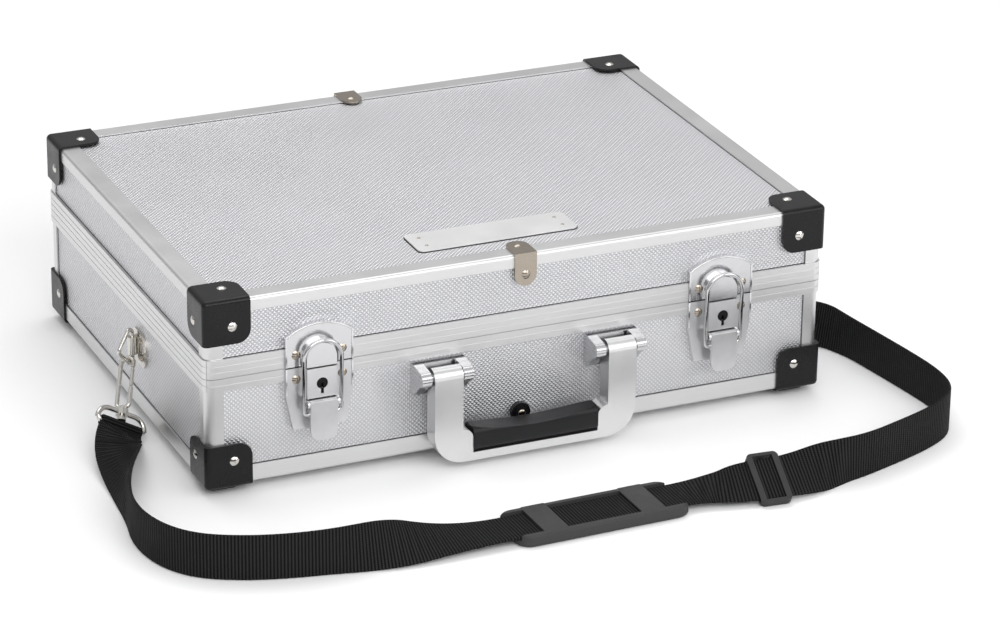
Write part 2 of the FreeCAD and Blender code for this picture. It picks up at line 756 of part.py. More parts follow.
flap_body, flap_block = block_body("lever_flap", "lever_width", "lever_thick", "lever_length + lever_rise",
                                   f"{LATCH} - lever_width / 2", FLAP_Y, f"{LEVER_Z} - lever_length")
rounded(flap_body, flap_block, lambda edge: edge.BoundBox.ZMax < 1e-6 and edge.BoundBox.XLength < 1e-6,
        "lever_round")
lever_whole = fuse("lever_whole", flap_body,
                   rod("lever_knuckle", ALONG_X, ear_radius, "lever_width", f"{LATCH} - lever_width / 2",
                       LEVER_Y, LEVER_Z),
                   eyelet("eyelet_left", f"{LATCH} - lever_width / 2"),
                   eyelet("eyelet_right", f"{LATCH} + lever_width / 4"))
pair("latch_lever", cut("left_latch_lever", lever_whole,
                        rod("lever_bore", ALONG_X, "lever_pin_radius + pivot_fit", "lever_width",
                            f"{LATCH} - lever_width / 2", LEVER_Y, LEVER_Z),
                        rod("bail_bore", ALONG_X, "bail_wire + pivot_fit", "lever_width",
                            f"{LATCH} - lever_width / 2", BAIL_Y, BAIL_Z)))


# Bent wire: straight runs joined by arcs, as one tube
def bent_path(points, bends, closed=False):
    edges = []
    count = len(points)
    start = (points[0] + points[-1]) * 0.5 if closed else points[0]
    last = start
    corners = range(count) if closed else range(1, count - 1)
    for index, bend in zip(corners, bends):
        corner = points[index]
        before = (points[index - 1] - corner).normalize()
        after = (points[(index + 1) % count] - corner).normalize()
        half = before.getAngle(after) / 2
        reach = bend / math.tan(half)
        middle = (before + after).normalize()
        centre = corner + middle * (bend / math.sin(half))
        first = corner + before * reach
        second = corner + after * reach
        if first.distanceToPoint(last) > 1e-6:
            edges.append(Part.LineSegment(last, first).toShape())
        edges.append(Part.Arc(first, centre - middle * bend, second).toShape())
        last = second
    end = start if closed else points[-1]
    if end.distanceToPoint(last) > 1e-6:
        edges.append(Part.LineSegment(last, end).toShape())
    return Part.Wire(edges)


def tube(points, radius, bends, closed=False):
    path = bent_path(points, bends, closed)
    first = path.Edges[0]
    section = Part.Wire(Part.makeCircle(radius, first.valueAt(first.FirstParameter),
                                        first.tangentAt(first.FirstParameter)))
    return path.makePipeShell([section], True, False)


bail_half = size("bail_half")
bail_origin = V(-size("latch_x"), plate_out - size("lever_pin_out") + size("bail_back"),
                lever_z - size("bail_drop"))
bail_lean = (size("boss_out") + size("bail_clear") + size("bail_wire")
             - size("lever_pin_out") + size("bail_back")) / size("bail_rise")
bail_up = V(0, -bail_lean, 1).normalize()
bail_top = size("bail_rise") + bail_half
bail_tip = size("lever_width") * 0.3
bail_flat = [(bail_tip, 0), (bail_half, 0), (bail_half, bail_top), (-bail_half, bail_top), (-bail_half, 0),
             (-bail_tip, 0)]
bail_bend = 2 * size("bail_wire")
bail_points = [bail_origin + V(x, 0, 0) + bail_up * rise for x, rise in bail_flat]
bail_bends = [bail_bend, bail_half, bail_half, bail_bend]
pair("latch_bail", made("left_latch_bail", tube(bail_points, size("bail_wire"), bail_bends)))

# Drop handle: two clevis brackets, pins, a bent frame and its grip
ARM = "((handle_width - arm_width) / 2)"
PIVOT_Y = f"({FRONT} - handle_out)"
BRACKET_TOP = f"({PART} - base_rim_height - bracket_gap)"
PIVOT_Z = f"({BRACKET_TOP} - pivot_drop)"
bracket_face = f"({PANEL_FRONT} - bracket_base)"


def cheek(name, x):
    """A side of the clevis: it slopes from the back plate to a round eye."""
    web = doc.addObject("Part::Wedge", name + "_web")
    bind(web, Xmin="0", Xmax="cheek_width", X2min="0", X2max="cheek_width", Ymin="0",
         Ymax=f"{bracket_face} - {PIVOT_Y}", Zmin="-barrel_radius", Zmax="barrel_radius",
         Z2min="pivot_drop - bracket_height", Z2max="pivot_drop")
    locate(web, x, PIVOT_Y, PIVOT_Z)
    return fuse(name, web, rod(name + "_eye", ALONG_X, "barrel_radius", "cheek_width", x, PIVOT_Y, PIVOT_Z))


def bracket(label, x):
    base = box(label + "_base", "bracket_width", "bracket_base", "bracket_height", f"{x} - bracket_width / 2",
               bracket_face, f"{BRACKET_TOP} - bracket_height")
    whole = fuse(label + "_whole", base, cheek(label + "_near", f"{x} - bracket_width / 2"),
                 cheek(label + "_far", f"{x} + bracket_width / 2 - cheek_width"))
    bore = rod(label + "_bore", ALONG_X, "handle_pin + shank_fit", "bracket_width",
               f"{x} - bracket_width / 2", PIVOT_Y, PIVOT_Z)
    node(label, cut(label, whole, bore))
    return rod(label + "_pin", ALONG_X, "handle_pin", "bracket_width + 2 * seat_gap",
               f"{x} - bracket_width / 2 - seat_gap", PIVOT_Y, PIVOT_Z)


left_pin = bracket("left_handle_bracket", f"(handle_x - {ARM})")
right_pin = bracket("right_handle_bracket", f"(handle_x + {ARM})")
node("handle_pins", group("handle_pins", left_pin, right_pin))

frame_body, frame_block = block_body("handle_bow", "handle_width", "handle_thick", f"{PIVOT_Z} - handle_low",
                                     "handle_x - handle_width / 2", f"{PIVOT_Y} - handle_thick / 2",
                                     "handle_low")
rounded(frame_body, frame_block, lambda edge: edge.BoundBox.ZMax < 1e-6 and edge.BoundBox.XLength < 1e-6,
        "handle_corner")
RAIL_TOP = "(handle_low + rail_height)"
INNER = "(handle_width / 2 - arm_width)"
handle_hole = box("handle_hole", f"2 * {INNER}", "2 * handle_thick", f"2 * {PIVOT_Z}",
                  f"handle_x - {INNER}", f"{PIVOT_Y} - handle_thick", RAIL_TOP)
bow = cut("handle_u", frame_body, handle_hole)


def gusset(name, sign):
    """The round-topped shoulder inside an arm, against which the grip ends."""
    middle = f"handle_x + {sign} * {INNER}"
    rear = f"{PIVOT_Y} + handle_thick / 2"
    return fuse(name,
                box(name + "_foot", "2 * gusset_width", "handle_thick", "grip_height - gusset_width",
                    f"{middle} - gusset_width", f"{PIVOT_Y} - handle_thick / 2", RAIL_TOP),
                rod(name + "_round", OUTWARD, "gusset_width", "handle_thick", middle, rear,
                    f"{RAIL_TOP} + grip_height - gusset_width"))


gussets = [gusset("left_gusset", "(-1)"), gusset("right_gusset", "1")]
barrels = [rod(f"handle_barrel_{number}", ALONG_X, "handle_thick / 2", "arm_width",
               f"handle_x + {sign} * {ARM} - arm_width / 2", PIVOT_Y, PIVOT_Z)
           for number, sign in enumerate((-1, 1))]
handle_bore = rod("handle_bore", ALONG_X, "handle_pin + pivot_fit", "handle_width",
                  "handle_x - handle_width / 2", PIVOT_Y, PIVOT_Z)
node("handle_frame", cut("handle_frame", fuse("handle_whole", bow, *gussets, *barrels), handle_bore))

GRIP = f"(2 * ({INNER} - gusset_width - grip_gap))"
grip_low = f"({RAIL_TOP} + grip_gap)"
grip_body, grip_block = block_body("grip_bar", GRIP, "grip_thick", "grip_height",
                                   f"handle_x - {GRIP} / 2", f"{PIVOT_Y} - grip_thick / 2", grip_low)
rounded(grip_body, grip_block, lambda edge: edge.BoundBox.XLength > 1, "grip_thick / 3")
sag_radius = f"((({GRIP} / 2) ^ 2 + grip_sag ^ 2) / (2 * grip_sag))"
grip_hollow = rod("grip_hollow", OUTWARD, sag_radius, "2 * grip_thick", "handle_x",
                  f"{PIVOT_Y} + grip_thick", f"{grip_low} + grip_height - grip_sag + {sag_radius}")
node("handle_grip", cut("handle_grip", grip_body, grip_hollow))
bumper_whole = fuse("bumper_whole",
                    rod("bumper_foot", OUTWARD, "bumper_radius", "bumper_out * 0.7", "bumper_x",
                        PANEL_FRONT, f"{FLOOR} + bumper_rise"),
                    rod("bumper_nose", OUTWARD, "bumper_radius * 0.7", "bumper_out", "bumper_x",
                        PANEL_FRONT, f"{FLOOR} + bumper_rise"))
bumper_step = box("bumper_step", "4 * bumper_radius", "profile_wall + seat_gap", "2 * bumper_radius",
                  "bumper_x - 2 * bumper_radius", f"{FRONT} - seat_gap",
                  f"{FLOOR} + bottom_flange + seat_gap - 2 * bumper_radius")
node("handle_bumper", cut("handle_bumper", bumper_whole, bumper_step))

# Two butt hinges on the rear rims
AXIS_Y = f"({REAR} + rim_proud + hinge_out)"
AXIS_Z = f"({PART} + parting_gap / 2)"
third = "(hinge_width / 3)"
leaf_y = f"({REAR} + rim_proud)"


def knuckle(name, radius, start, length):
    return rod(name, ALONG_X, radius, length, f"hinge_x - hinge_width / 2 + {start}", AXIS_Y, AXIS_Z)


def clear_of(name, start):
    """Room round a knuckle of the other leaf."""
    return knuckle(name, "knuckle_radius + knuckle_gap", f"{start} - knuckle_gap / 2",
                   f"{third} + knuckle_gap")


pin_bore = knuckle("hinge_bore", "hinge_pin + pivot_fit", "0", "hinge_width")
base_leaf = fuse("base_leaf_whole",
                 box("base_leaf_flat", "hinge_width", "hinge_leaf", "base_leaf",
                     "hinge_x - hinge_width / 2", leaf_y, f"{PART} - base_leaf"),
                 knuckle("base_knuckle_a", "knuckle_radius", "0", third),
                 knuckle("base_knuckle_b", "knuckle_radius", f"2 * {third}", third))
lid_leaf = fuse("lid_leaf_whole",
                box("lid_leaf_flat", "hinge_width", "hinge_leaf", "lid_leaf",
                    "hinge_x - hinge_width / 2", leaf_y, LID),
                knuckle("lid_knuckle", "knuckle_radius", third, third))
hinge_hole = size("hinge_leaf")
leaf_out = rear + size("rim_proud") + hinge_hole
hinge_spots = [size("hinge_x") + size("hinge_width") * share for share in (-0.36, 0, 0.36)]
lid_leaf_level = lid + size("lid_leaf") - 1.2 * size("rivet_radius")
base_leaf_level = part - size("base_leaf") + 1.03 * size("rivet_radius")
lid_leaf_spots = [(V(x, leaf_out, lid_leaf_level), V(0, 1, 0)) for x in hinge_spots]
base_leaf_spots = [(V(x, leaf_out, base_leaf_level), V(0, 1, 0)) for x in (hinge_spots[0], hinge_spots[2])]
base_leaf = cut("base_leaf", base_leaf, clear_of("clear_middle", third), pin_bore,
                rivet_holes("base_leaf_holes", base_leaf_spots, hinge_hole))
lid_leaf = cut("lid_leaf", lid_leaf, clear_of("clear_a", "0"), clear_of("clear_b", f"2 * {third}"), pin_bore,
               rivet_holes("lid_leaf_holes", lid_leaf_spots, hinge_hole))
hinge_pin = knuckle("hinge_pin_rod", "hinge_pin", "0", "hinge_width")
node("base_hinge_leaves", group("base_hinge_leaves", base_leaf, mirror_x("base_leaf_left", base_leaf)))
node("lid_hinge_leaves", group("lid_hinge_leaves", lid_leaf, mirror_x("lid_leaf_left", lid_leaf)))
node("hinge_pins", group("hinge_pins", hinge_pin, mirror_x("hinge_pin_left", hinge_pin)))


# Strap ring plates: a riveted plate with an upright barrel, and a three-cornered ring in it
FACE_X = "(profile_wall - case_length / 2)"
BARREL_X = f"({FACE_X} - sheet_thick - ring_barrel * 0.8)"
BARREL_Y = f"({SHIFT} - ring_setback)"
RING_MID = f"({FLOOR} + (bottom_flange + base_height - base_rim_height) / 2 + ring_lift)"
plate_front = f"({BARREL_Y} + ring_barrel - ring_plate_depth)"
ring_flat = common("ring_flat",
                   box("ring_sheet", "sheet_thick", "ring_plate_depth", "ring_plate_height",
                       f"{FACE_X} - sheet_thick", plate_front, f"{RING_MID} - ring_plate_height / 2"),
                   rod("ring_arch", ALONG_X, "ring_plate_arch", "2 * sheet_thick",
                       f"{FACE_X} - 1.5 * sheet_thick", f"{plate_front} + ring_plate_arch", RING_MID))
wall_mid = floor + (size("bottom_flange") + size("base_height") - size("base_rim_height")) / 2
ring_mid = wall_mid + size("ring_lift")
ring_spots = []
for sign in (-1, 1):
    ring_spots.append((V(size("profile_wall") - right - size("sheet_thick"),
                         shift - size("ring_setback") - 5 * size("ring_rivet"),
                         ring_mid + sign * 3 * size("ring_rivet")), LEFTWARD))
barrel = rod("ring_barrel_tube", UP, "ring_barrel", "barrel_height", BARREL_X, BARREL_Y,
             f"{RING_MID} - barrel_height / 2")
ring_bore = rod("ring_bore", UP, "ring_wire + pivot_fit", "2 * barrel_height", BARREL_X, BARREL_Y,
                f"{RING_MID} - barrel_height")
pair("ring_plate", cut("left_ring_plate", fuse("ring_plate_whole", ring_flat, barrel), ring_bore,
                       rivet_holes("ring_holes", ring_spots, sheet_hole)))

ring_axis = V(size("profile_wall") - right - size("sheet_thick") - 0.8 * size("ring_barrel"),
              shift - size("ring_setback"), 0)
ring_half = size("barrel_height") / 2 + size("ring_over")
ring_turn = math.radians(size("ring_turn"))
ring_out = V(-math.cos(ring_turn), -math.sin(ring_turn), 0)
ring_low = ring_axis + V(0, 0, ring_mid - ring_half)
ring_tip = ring_axis + ring_out * size("ring_reach") + V(0, 0, ring_mid)
ring_high = ring_axis + V(0, 0, ring_mid + ring_half)
pair("strap_ring", made("left_strap_ring", tube([ring_low, ring_tip, ring_high], size("ring_wire"),
                                                [size("ring_corner")] * 3, closed=True)))

# Snap hook on the ring's lower side, with a swivel stud that turns in the strap loop
hook_turn = math.radians(size("hook_turn"))
hook_dip = math.radians(size("hook_dip"))
along = V(-math.cos(hook_turn) * math.cos(hook_dip), -math.sin(hook_turn) * math.cos(hook_dip),
          -math.sin(hook_dip))
ring_leg = (ring_tip - ring_low).normalize()
across = (ring_leg - along * ring_leg.dot(along)).normalize()
aside = across.cross(along)
hook_half = size("hook_half")
hook_length = size("hook_length")
seat = ring_low + ring_leg * size("hook_seat")
eye = seat + along * (hook_half - size("hook_wire") - size("ring_wire") - size("hook_clear"))


def hook_point(wide, long):
    return eye + aside * wide + along * long


gate_end = size("gate_start") + size("gate_length")
hook_bends = [hook_half, hook_half, 0.6 * hook_half, 0.6 * hook_half]
hook_points = [hook_point(hook_half, size("gate_start") - 2 * size("hook_clear")),
               hook_point(hook_half, -hook_half), hook_point(-hook_half, -hook_half),
               hook_point(-hook_half, hook_length), hook_point(hook_half, hook_length),
               hook_point(hook_half, gate_end + 4 * size("hook_clear"))]
hook_wire = tube(hook_points, size("hook_wire"), hook_bends)
stud_from = hook_point(0, hook_length)
stud_end = hook_length + size("hook_wire") + size("stud_length")
stud = Part.makeCylinder(size("stud_radius"), stud_end - hook_length, stud_from, along)
stud_cap = Part.makeCylinder(size("stud_head"), size("hook_wire"), hook_point(0, stud_end), along)
pair("snap_hook", made("left_snap_hook", hook_wire.fuse([stud, stud_cap]).removeSplitter()))
gate = Part.makeCylinder(size("gate_wire"), size("gate_length"),
                         hook_point(hook_half, size("gate_start")), along)
pair("hook_gate", made("left_hook_gate", gate))

# Strap loop: a flat-sided wire link with a boss for the stud; its far bar carries the webbing
END_ROLL = 40


def strap_axes(tangent, roll):
    """Width and thickness directions of the webbing for a roll about its run."""
    level = tangent.cross(V(0, 0, 1)).normalize()
    rise = level.cross(tangent)
    angle = math.radians(roll)
    wide = level * math.cos(angle) + rise * math.sin(angle)
    return wide, wide.cross(tangent)


bar_wide = strap_axes(along, END_ROLL)[0]
loop_top = hook_length + size("hook_wire") + 2 * size("hook_clear") + size("loop_boss_length") / 2
loop_bar = loop_top + size("loop_legs")
loop_half = size("loop_half")


def loop_point(wide, long):
    return eye + bar_wide * wide + along * long


loop_points = [loop_point(-loop_half, loop_top), loop_point(loop_half, loop_top),
               loop_point(loop_half, loop_bar), loop_point(-loop_half, loop_bar)]
loop_bends = [size("loop_round")] * 2 + [2 * size("loop_wire")] * 2
loop_wire = tube(loop_points, size("loop_wire"), loop_bends, closed=True)
boss_from = eye + along * (loop_top - size("loop_boss_length") / 2)
loop_boss = Part.makeCylinder(size("loop_boss"), size("loop_boss_length"), boss_from, along)
loop_bore = Part.makeCylinder(size("stud_radius") + size("pivot_fit"), size("loop_boss_length"),
                              boss_from, along)
pair("strap_loop", made("left_strap_loop", loop_wire.fuse(loop_boss).cut(loop_bore).removeSplitter()))
strap_start = eye + along * loop_bar

# Shoulder strap: points along the middle of the webbing with the roll of its width,
# where 0 lies flat and -90 stands on its lower edge; the loops hold both ends.
PAD_START = (-76.0, -264.6, 5.8, 0)
SLIDER_START = (94.0, -271.0, 11.6, -30)
STRAP_ROUTE = [
    (-247.0, -71.0, 12.0, 8),
    (-258.5, -113.0, 13.5, -50),
    (-268.5, -152.5, 15.7, -84),
    (-274.8, -182.5, 15.4, -90),
    (-269.5, -210.0, 15.4, -90),
    (-255.5, -233.5, 15.4, -90),
    (-228.5, -249.6, 15.4, -90),
    (-198.3, -258.9, 15.4, -90),
    (-166.0, -260.0, 14.2, -56),
    (-137.0, -259.0, 8.6, -25),
    (-107.0, -263.5, 6.2, -8),
    PAD_START,
    (72.0, -261.0, 5.8, 0),
    SLIDER_START,
    (132.0, -275.0, 12.2, -30),
    (160.0, -282.5, 16.0, -80),
    (180.0, -280.0, 15.4, -90),
    (206.0, -271.5, 15.4, -90),
    (233.0, -260.5, 15.4, -90),
    (254.0, -246.5, 15.4, -90),
    (266.5, -229.0, 15.4, -90),
    (270.8, -203.0, 15.4, -90),
    (268.0, -169.0, 15.4, -90),
    (262.5, -133.5, 15.4, -90),
    (257.5, -101.0, 15.7, -80),
    (250.5, -75.5, 13.2, -24),
]
strap_wide = size("strap_width")
strap_thick = size("strap_thick")
sleeve_in = size("loop_wire") + size("sleeve_gap")
strap_end = V(-strap_start.x, strap_start.y, strap_start.z)
along_right = V(-along.x, along.y, along.z)
rest = sleeve_in + strap_thick / 2
points = [V(x, y, z) for x, y, z, roll in STRAP_ROUTE]
points = [strap_start + along * rest] + points + [strap_end + along_right * rest]
rolls = [END_ROLL] + [roll for x, y, z, roll in STRAP_ROUTE] + [END_ROLL]
RUN_SHARE = 0.45


def arc_radii(route):
    """The largest arc at each corner that leaves its two runs a straight middle."""
    radii = []
    for before, corner, after in zip(route, route[1:], route[2:]):
        shorter = min(before.distanceToPoint(corner), after.distanceToPoint(corner))
        turn = math.pi - (before - corner).getAngle(after - corner)
        radii.append(RUN_SHARE * shorter / math.tan(turn / 2))
    return radii


radii = arc_radii(points)
strap_path = bent_path(points, radii)
print("strap bend radii", [round(radius) for radius in radii])


def roll_marks(path):
    """Length along the path, and roll, at each point of the route."""
    marks = [(0, rolls[0])]
    run = 0
    for edge in path.Edges:
        if edge.Curve.TypeId == "Part::GeomCircle":
            marks.append((run + edge.Length / 2, rolls[len(marks)]))
        run += edge.Length
    return marks + [(run, rolls[-1])]


marks = roll_marks(strap_path)


def roll_at(run):
    for (low, first), (high, second) in zip(marks, marks[1:]):
        if run <= high:
            return first + (second - first) * (run - low) / (high - low)
    return marks[-1][1]


def strap_section(spot, tangent, roll):
    wide, flat = strap_axes(tangent, roll)
    half_wide = wide * (strap_wide / 2)
    half_flat = flat * (strap_thick / 2)
    corners = [spot - half_wide - half_flat, spot + half_wide - half_flat, spot + half_wide + half_flat,
               spot - half_wide + half_flat]
    return Part.makePolygon(corners + corners[:1])


ARC_STEPS = 3
sections = []
run = 0
for edge in strap_path.Edges:
    steps = ARC_STEPS if edge.Curve.TypeId == "Part::GeomCircle" else 2
    for step in range(steps):
        share = step / steps
        parameter = edge.FirstParameter + (edge.LastParameter - edge.FirstParameter) * share
        sections.append(strap_section(edge.valueAt(parameter), edge.tangentAt(parameter),
                                      roll_at(run + edge.Length * share)))
    run += edge.Length
sections[0] = strap_section(points[0], along, rolls[0])
sections.append(strap_section(points[-1], along_right * -1, rolls[-1]))
ribbon = Part.makeLoft(sections, True, True)
print("strap length", round(strap_path.Length, 1), "volume share",
      round(ribbon.Volume / (strap_path.Length * strap_wide * strap_thick), 4))


def sleeve(bar, direction):
    start = bar - direction * (strap_wide / 2)
    outer = Part.makeCylinder(sleeve_in + strap_thick, strap_wide, start, direction)
    return outer, Part.makeCylinder(sleeve_in, strap_wide, start, direction)


left_outer, left_inner = sleeve(strap_start, bar_wide)
right_outer, right_inner = sleeve(strap_end, V(-bar_wide.x, bar_wide.y, bar_wide.z))
webbing = ribbon.fuse([left_outer, right_outer]).cut([left_inner, right_inner])
node("strap_webbing", made("strap_webbing", webbing))


def on_strap(begin, name, shape):
    """Set a piece, drawn along X with its width along Y, on the run after a route point."""
    index = STRAP_ROUTE.index(begin) + 1
    start = points[index]
    tangent = (points[index + 1] - start).normalize()
    wide, flat = strap_axes(tangent, rolls[index])
    spot = (start + points[index + 1]) * 0.5
    obj = made(name, shape)
    obj.Placement = FreeCAD.Placement(FreeCAD.Matrix(tangent.x, -wide.x, flat.x, spot.x,
                                                     tangent.y, -wide.y, flat.y, spot.y,
                                                     tangent.z, -wide.z, flat.z, spot.z, 0, 0, 0, 1))
    return obj


def centred(length, width, height, z):
    return Part.makeBox(length, width, height, V(-length / 2, -width / 2, z))


# Shoulder pad: a tray under the webbing, with two flat bands over it
pad_under = strap_thick / 2 + size("pad_gap")
passage_wide = strap_wide + 2 * size("side_play")
pad_length = size("pad_length")
pad_high = size("pad_thick") + 2 * pad_under + size("sheet_thick")
pad_low = -pad_under - size("pad_thick")
pad_solid = centred(pad_length, size("pad_width"), pad_high, pad_low)
pad_solid = pad_solid.makeFillet(size("pad_width") / 4, [edge for edge in pad_solid.Edges if upright(edge)])
pad_crown = [edge for edge in pad_solid.Edges if edge.BoundBox.ZMin > pad_low + pad_high / 2]
pad_solid = pad_solid.makeFillet(size("pad_round"), pad_crown)
window_long = pad_length - 2 * (size("band_setback") + size("band_length"))
pad_open = centred(window_long, passage_wide, pad_high, -pad_under)
pad_cuts = [pad_open, centred(2 * pad_length, passage_wide, 2 * pad_under, -pad_under)]
for sign in (-1, 1):
    pad_end = centred(2 * size("band_setback"), passage_wide, pad_high, -pad_under)
    pad_end.translate(V(sign * pad_length / 2, 0, 0))
    pad_cuts.append(pad_end)
node("strap_pad", on_strap(PAD_START, "strap_pad", pad_solid.cut(pad_cuts)))

# Slider that sets the length: a flat frame round the webbing, with a bar under its middle
slider_long = size("slider_length")
slider_bar = size("slider_bar")
slider_high = 2 * pad_under + 2 * size("sheet_thick")
slider_solid = centred(slider_long, size("slider_width"), slider_high, -slider_high / 2)
slider_solid = slider_solid.makeFillet(size("slider_round"),
                                       [edge for edge in slider_solid.Edges if upright(edge)])
slider_window = centred(slider_long - 2 * slider_bar, passage_wide, slider_high, -slider_high / 2)
slider_under = centred(slider_bar, passage_wide, size("sheet_thick"), -slider_high / 2)
slider_cuts = [slider_window.cut(slider_under),
               centred(2 * slider_long, passage_wide, 2 * pad_under, -pad_under)]
node("strap_slider", on_strap(SLIDER_START, "strap_slider", slider_solid.cut(slider_cuts)))


# Rivets of the fittings on each half
def both_sides(places):
    return places + [(V(-spot.x, spot.y, spot.z), V(-way.x, way.y, way.z)) for spot, way in places]


rear_clip_ends = [(V(spot.x, 2 * shift - spot.y, spot.z), V(way.x, -way.y, way.z)) for spot, way in clip_ends]
lid_spots = both_sides(keeper_spots) + both_sides(lid_leaf_spots) + clip_ends + rear_clip_ends
base_spots = both_sides(plate_spots) + both_sides(base_leaf_spots)
set_rivets("lid_fitting_rivets", rivets_at(lid_spots, rivet_head, sheet_hole))
set_rivets("base_fitting_rivets", rivets_at(base_spots, rivet_head, sheet_hole),
           rivets_at(both_sides(ring_spots), size("ring_rivet"), sheet_hole))

# Check every object, then write one file for each node
doc.recompute()
failed = [obj.Name for obj in doc.Objects if {"Invalid", "Error"} & set(obj.State)]
for label, obj in nodes.items():
    if obj.Shape.isNull() or not obj.Shape.isValid() or not obj.Shape.Solids:
        failed.append(label)
if failed:
    raise ValueError("not sound: " + ", ".join(failed))
os.makedirs("parts", exist_ok=True)
for label, obj in nodes.items():
    obj.Shape.exportStep(f"parts/{label}.step")
limits = FreeCAD.BoundBox()
for obj in nodes.values():
    limits.add(obj.Shape.BoundBox)
print(len(nodes), "nodes", [round(value, 1) for value in (limits.XMin, limits.YMin, limits.ZMin)],
      [round(value, 1) for value in (limits.XMax, limits.YMax, limits.ZMax)])
print("strap starts at", [round(value, 2) for value in strap_start])
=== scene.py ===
# %% [markdown]
# # An aluminium case with a shoulder strap
# The solids come from CAD and arrive as a fixed frame, so every size is already right. What is made here
# is what a solid can't show: embossed sheet, satin extrusions, chrome, woven webbing, foam, and light.

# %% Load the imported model
import json
import math
import bmesh
import bpy
from mathutils import Matrix, Vector


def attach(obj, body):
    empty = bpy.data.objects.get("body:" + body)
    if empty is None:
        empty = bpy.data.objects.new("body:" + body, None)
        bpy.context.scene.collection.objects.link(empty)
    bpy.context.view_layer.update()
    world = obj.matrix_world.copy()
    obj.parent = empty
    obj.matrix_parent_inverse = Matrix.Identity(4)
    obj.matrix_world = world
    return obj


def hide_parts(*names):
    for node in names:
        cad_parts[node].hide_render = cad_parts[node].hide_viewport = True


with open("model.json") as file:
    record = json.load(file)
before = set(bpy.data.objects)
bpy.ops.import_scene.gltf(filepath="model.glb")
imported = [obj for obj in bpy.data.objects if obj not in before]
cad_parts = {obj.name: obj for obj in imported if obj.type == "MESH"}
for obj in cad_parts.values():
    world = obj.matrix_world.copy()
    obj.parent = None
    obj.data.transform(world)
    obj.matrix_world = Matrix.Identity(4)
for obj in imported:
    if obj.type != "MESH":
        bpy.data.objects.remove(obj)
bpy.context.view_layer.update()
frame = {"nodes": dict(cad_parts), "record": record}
scene = bpy.context.scene
nodes = frame["nodes"]
MM = 0.001

# %% [markdown]
# ## The camera
# A product photograph is taken from far away with a long lens, so the case looks almost parallel. The
# view is given as a photographer would say it: how far round, how high, a slight tilt, and a lens. The
# three axes of the camera are built from those angles, which keeps them easy to read and to change.

# %% Camera
AROUND = math.radians(-23.9058)
ABOVE = math.radians(23.6374)
TILT = math.radians(-0.7307)
STAND = Vector((-982.8, -2328.4, 1136.4)) * MM

backward = Vector((math.sin(AROUND) * math.cos(ABOVE), -math.cos(AROUND) * math.cos(ABOVE), math.sin(ABOVE)))
level = Vector((0, 0, 1)).cross(backward).normalized()
down = level.cross(backward)
side = level * math.cos(TILT) + down * math.sin(TILT)
up = level * math.sin(TILT) - down * math.cos(TILT)
camera_data = bpy.data.cameras.new("photo_camera")
camera_data.sensor_width = 36
camera_data.lens = 148.83
camera_data.clip_end = 50
camera = bpy.data.objects.new("photo_camera", camera_data)
camera.matrix_world = Matrix.Translation(STAND) @ Matrix((side, up, backward)).transposed().to_4x4()
scene.collection.objects.link(camera)
scene.camera = camera
scene.view_settings.view_transform = "Standard"
print("camera", [round(value, 3) for value in STAND], "lens", camera_data.lens)

# %% [markdown]
# ## Small helpers for shader nodes
# A material is a drawing of nodes and wires. Written out in full it hides what it does, so one helper adds
# a node and fills its inputs: a plain value is typed in, and a socket of another node is wired up.


# %% Node helpers
def add(tree, kind, inputs=None, **settings):
    """Add a node, set its options, and fill each named or numbered input with a value or a wire."""
    new = tree.nodes.new(kind)
    for name, value in settings.items():
        setattr(new, name, value)
    for key, value in (inputs or {}).items():
        if isinstance(value, bpy.types.NodeSocket):
            tree.links.new(value, new.inputs[key])
        else:
            new.inputs[key].default_value = value
    return new


def sums(tree, operation, *values):
    """One Math node; gives its output socket."""
    return add(tree, "ShaderNodeMath", dict(enumerate(values)), operation=operation).outputs[0]


def new_group(name, inputs, outputs):
    """An empty shader node group with float inputs and named outputs."""
    tree = bpy.data.node_groups.new(name, "ShaderNodeTree")
    for label, value in inputs.items():
        tree.interface.new_socket(label, in_out="INPUT", socket_type="NodeSocketFloat").default_value = value
    for label in outputs:
        tree.interface.new_socket(label, in_out="OUTPUT", socket_type="NodeSocketFloat")
    return tree, tree.nodes.new("NodeGroupInput").outputs, tree.nodes.new("NodeGroupOutput").inputs


def place(tree, group, **values):
    """Put a node group into a material with its own values."""
    new = tree.nodes.new("ShaderNodeGroup")
    new.node_tree = group
    for label, value in values.items():
        new.inputs[label.replace("_", " ")].default_value = value
    return new.outputs


# %% [markdown]
# ## Effects that several finishes share
# Hands, cloths and shelves leave every surface a little uneven. Four groups hold what repeats: uneven
# gloss, the drawn lines of an extrusion, the embossed diamonds of the sheet, and a moulded or foamed grain.
# Each reads Object coordinates, which are metres here, so a pitch is given in real millimetres.

# %% Shared effects
uneven, given, result = new_group("uneven_gloss", {"Size mm": 30, "Low": 0.3, "High": 0.4}, ["Gloss", "Mask"])
spot = add(uneven, "ShaderNodeTexCoord").outputs["Object"]
size_in_m = sums(uneven, "DIVIDE", 1000.0, given["Size mm"])
broad = add(uneven, "ShaderNodeTexNoise", {"Vector": spot, "Scale": size_in_m, "Detail": 5.0, "Roughness": 0.6})
uneven.links.new(broad.outputs[0], result["Mask"])
spread = add(uneven, "ShaderNodeMapRange", {"Value": broad.outputs[0], 1: 0.3, 2: 0.7, 3: given["Low"],
                                            4: given["High"]})
uneven.links.new(spread.outputs[0], result["Gloss"])

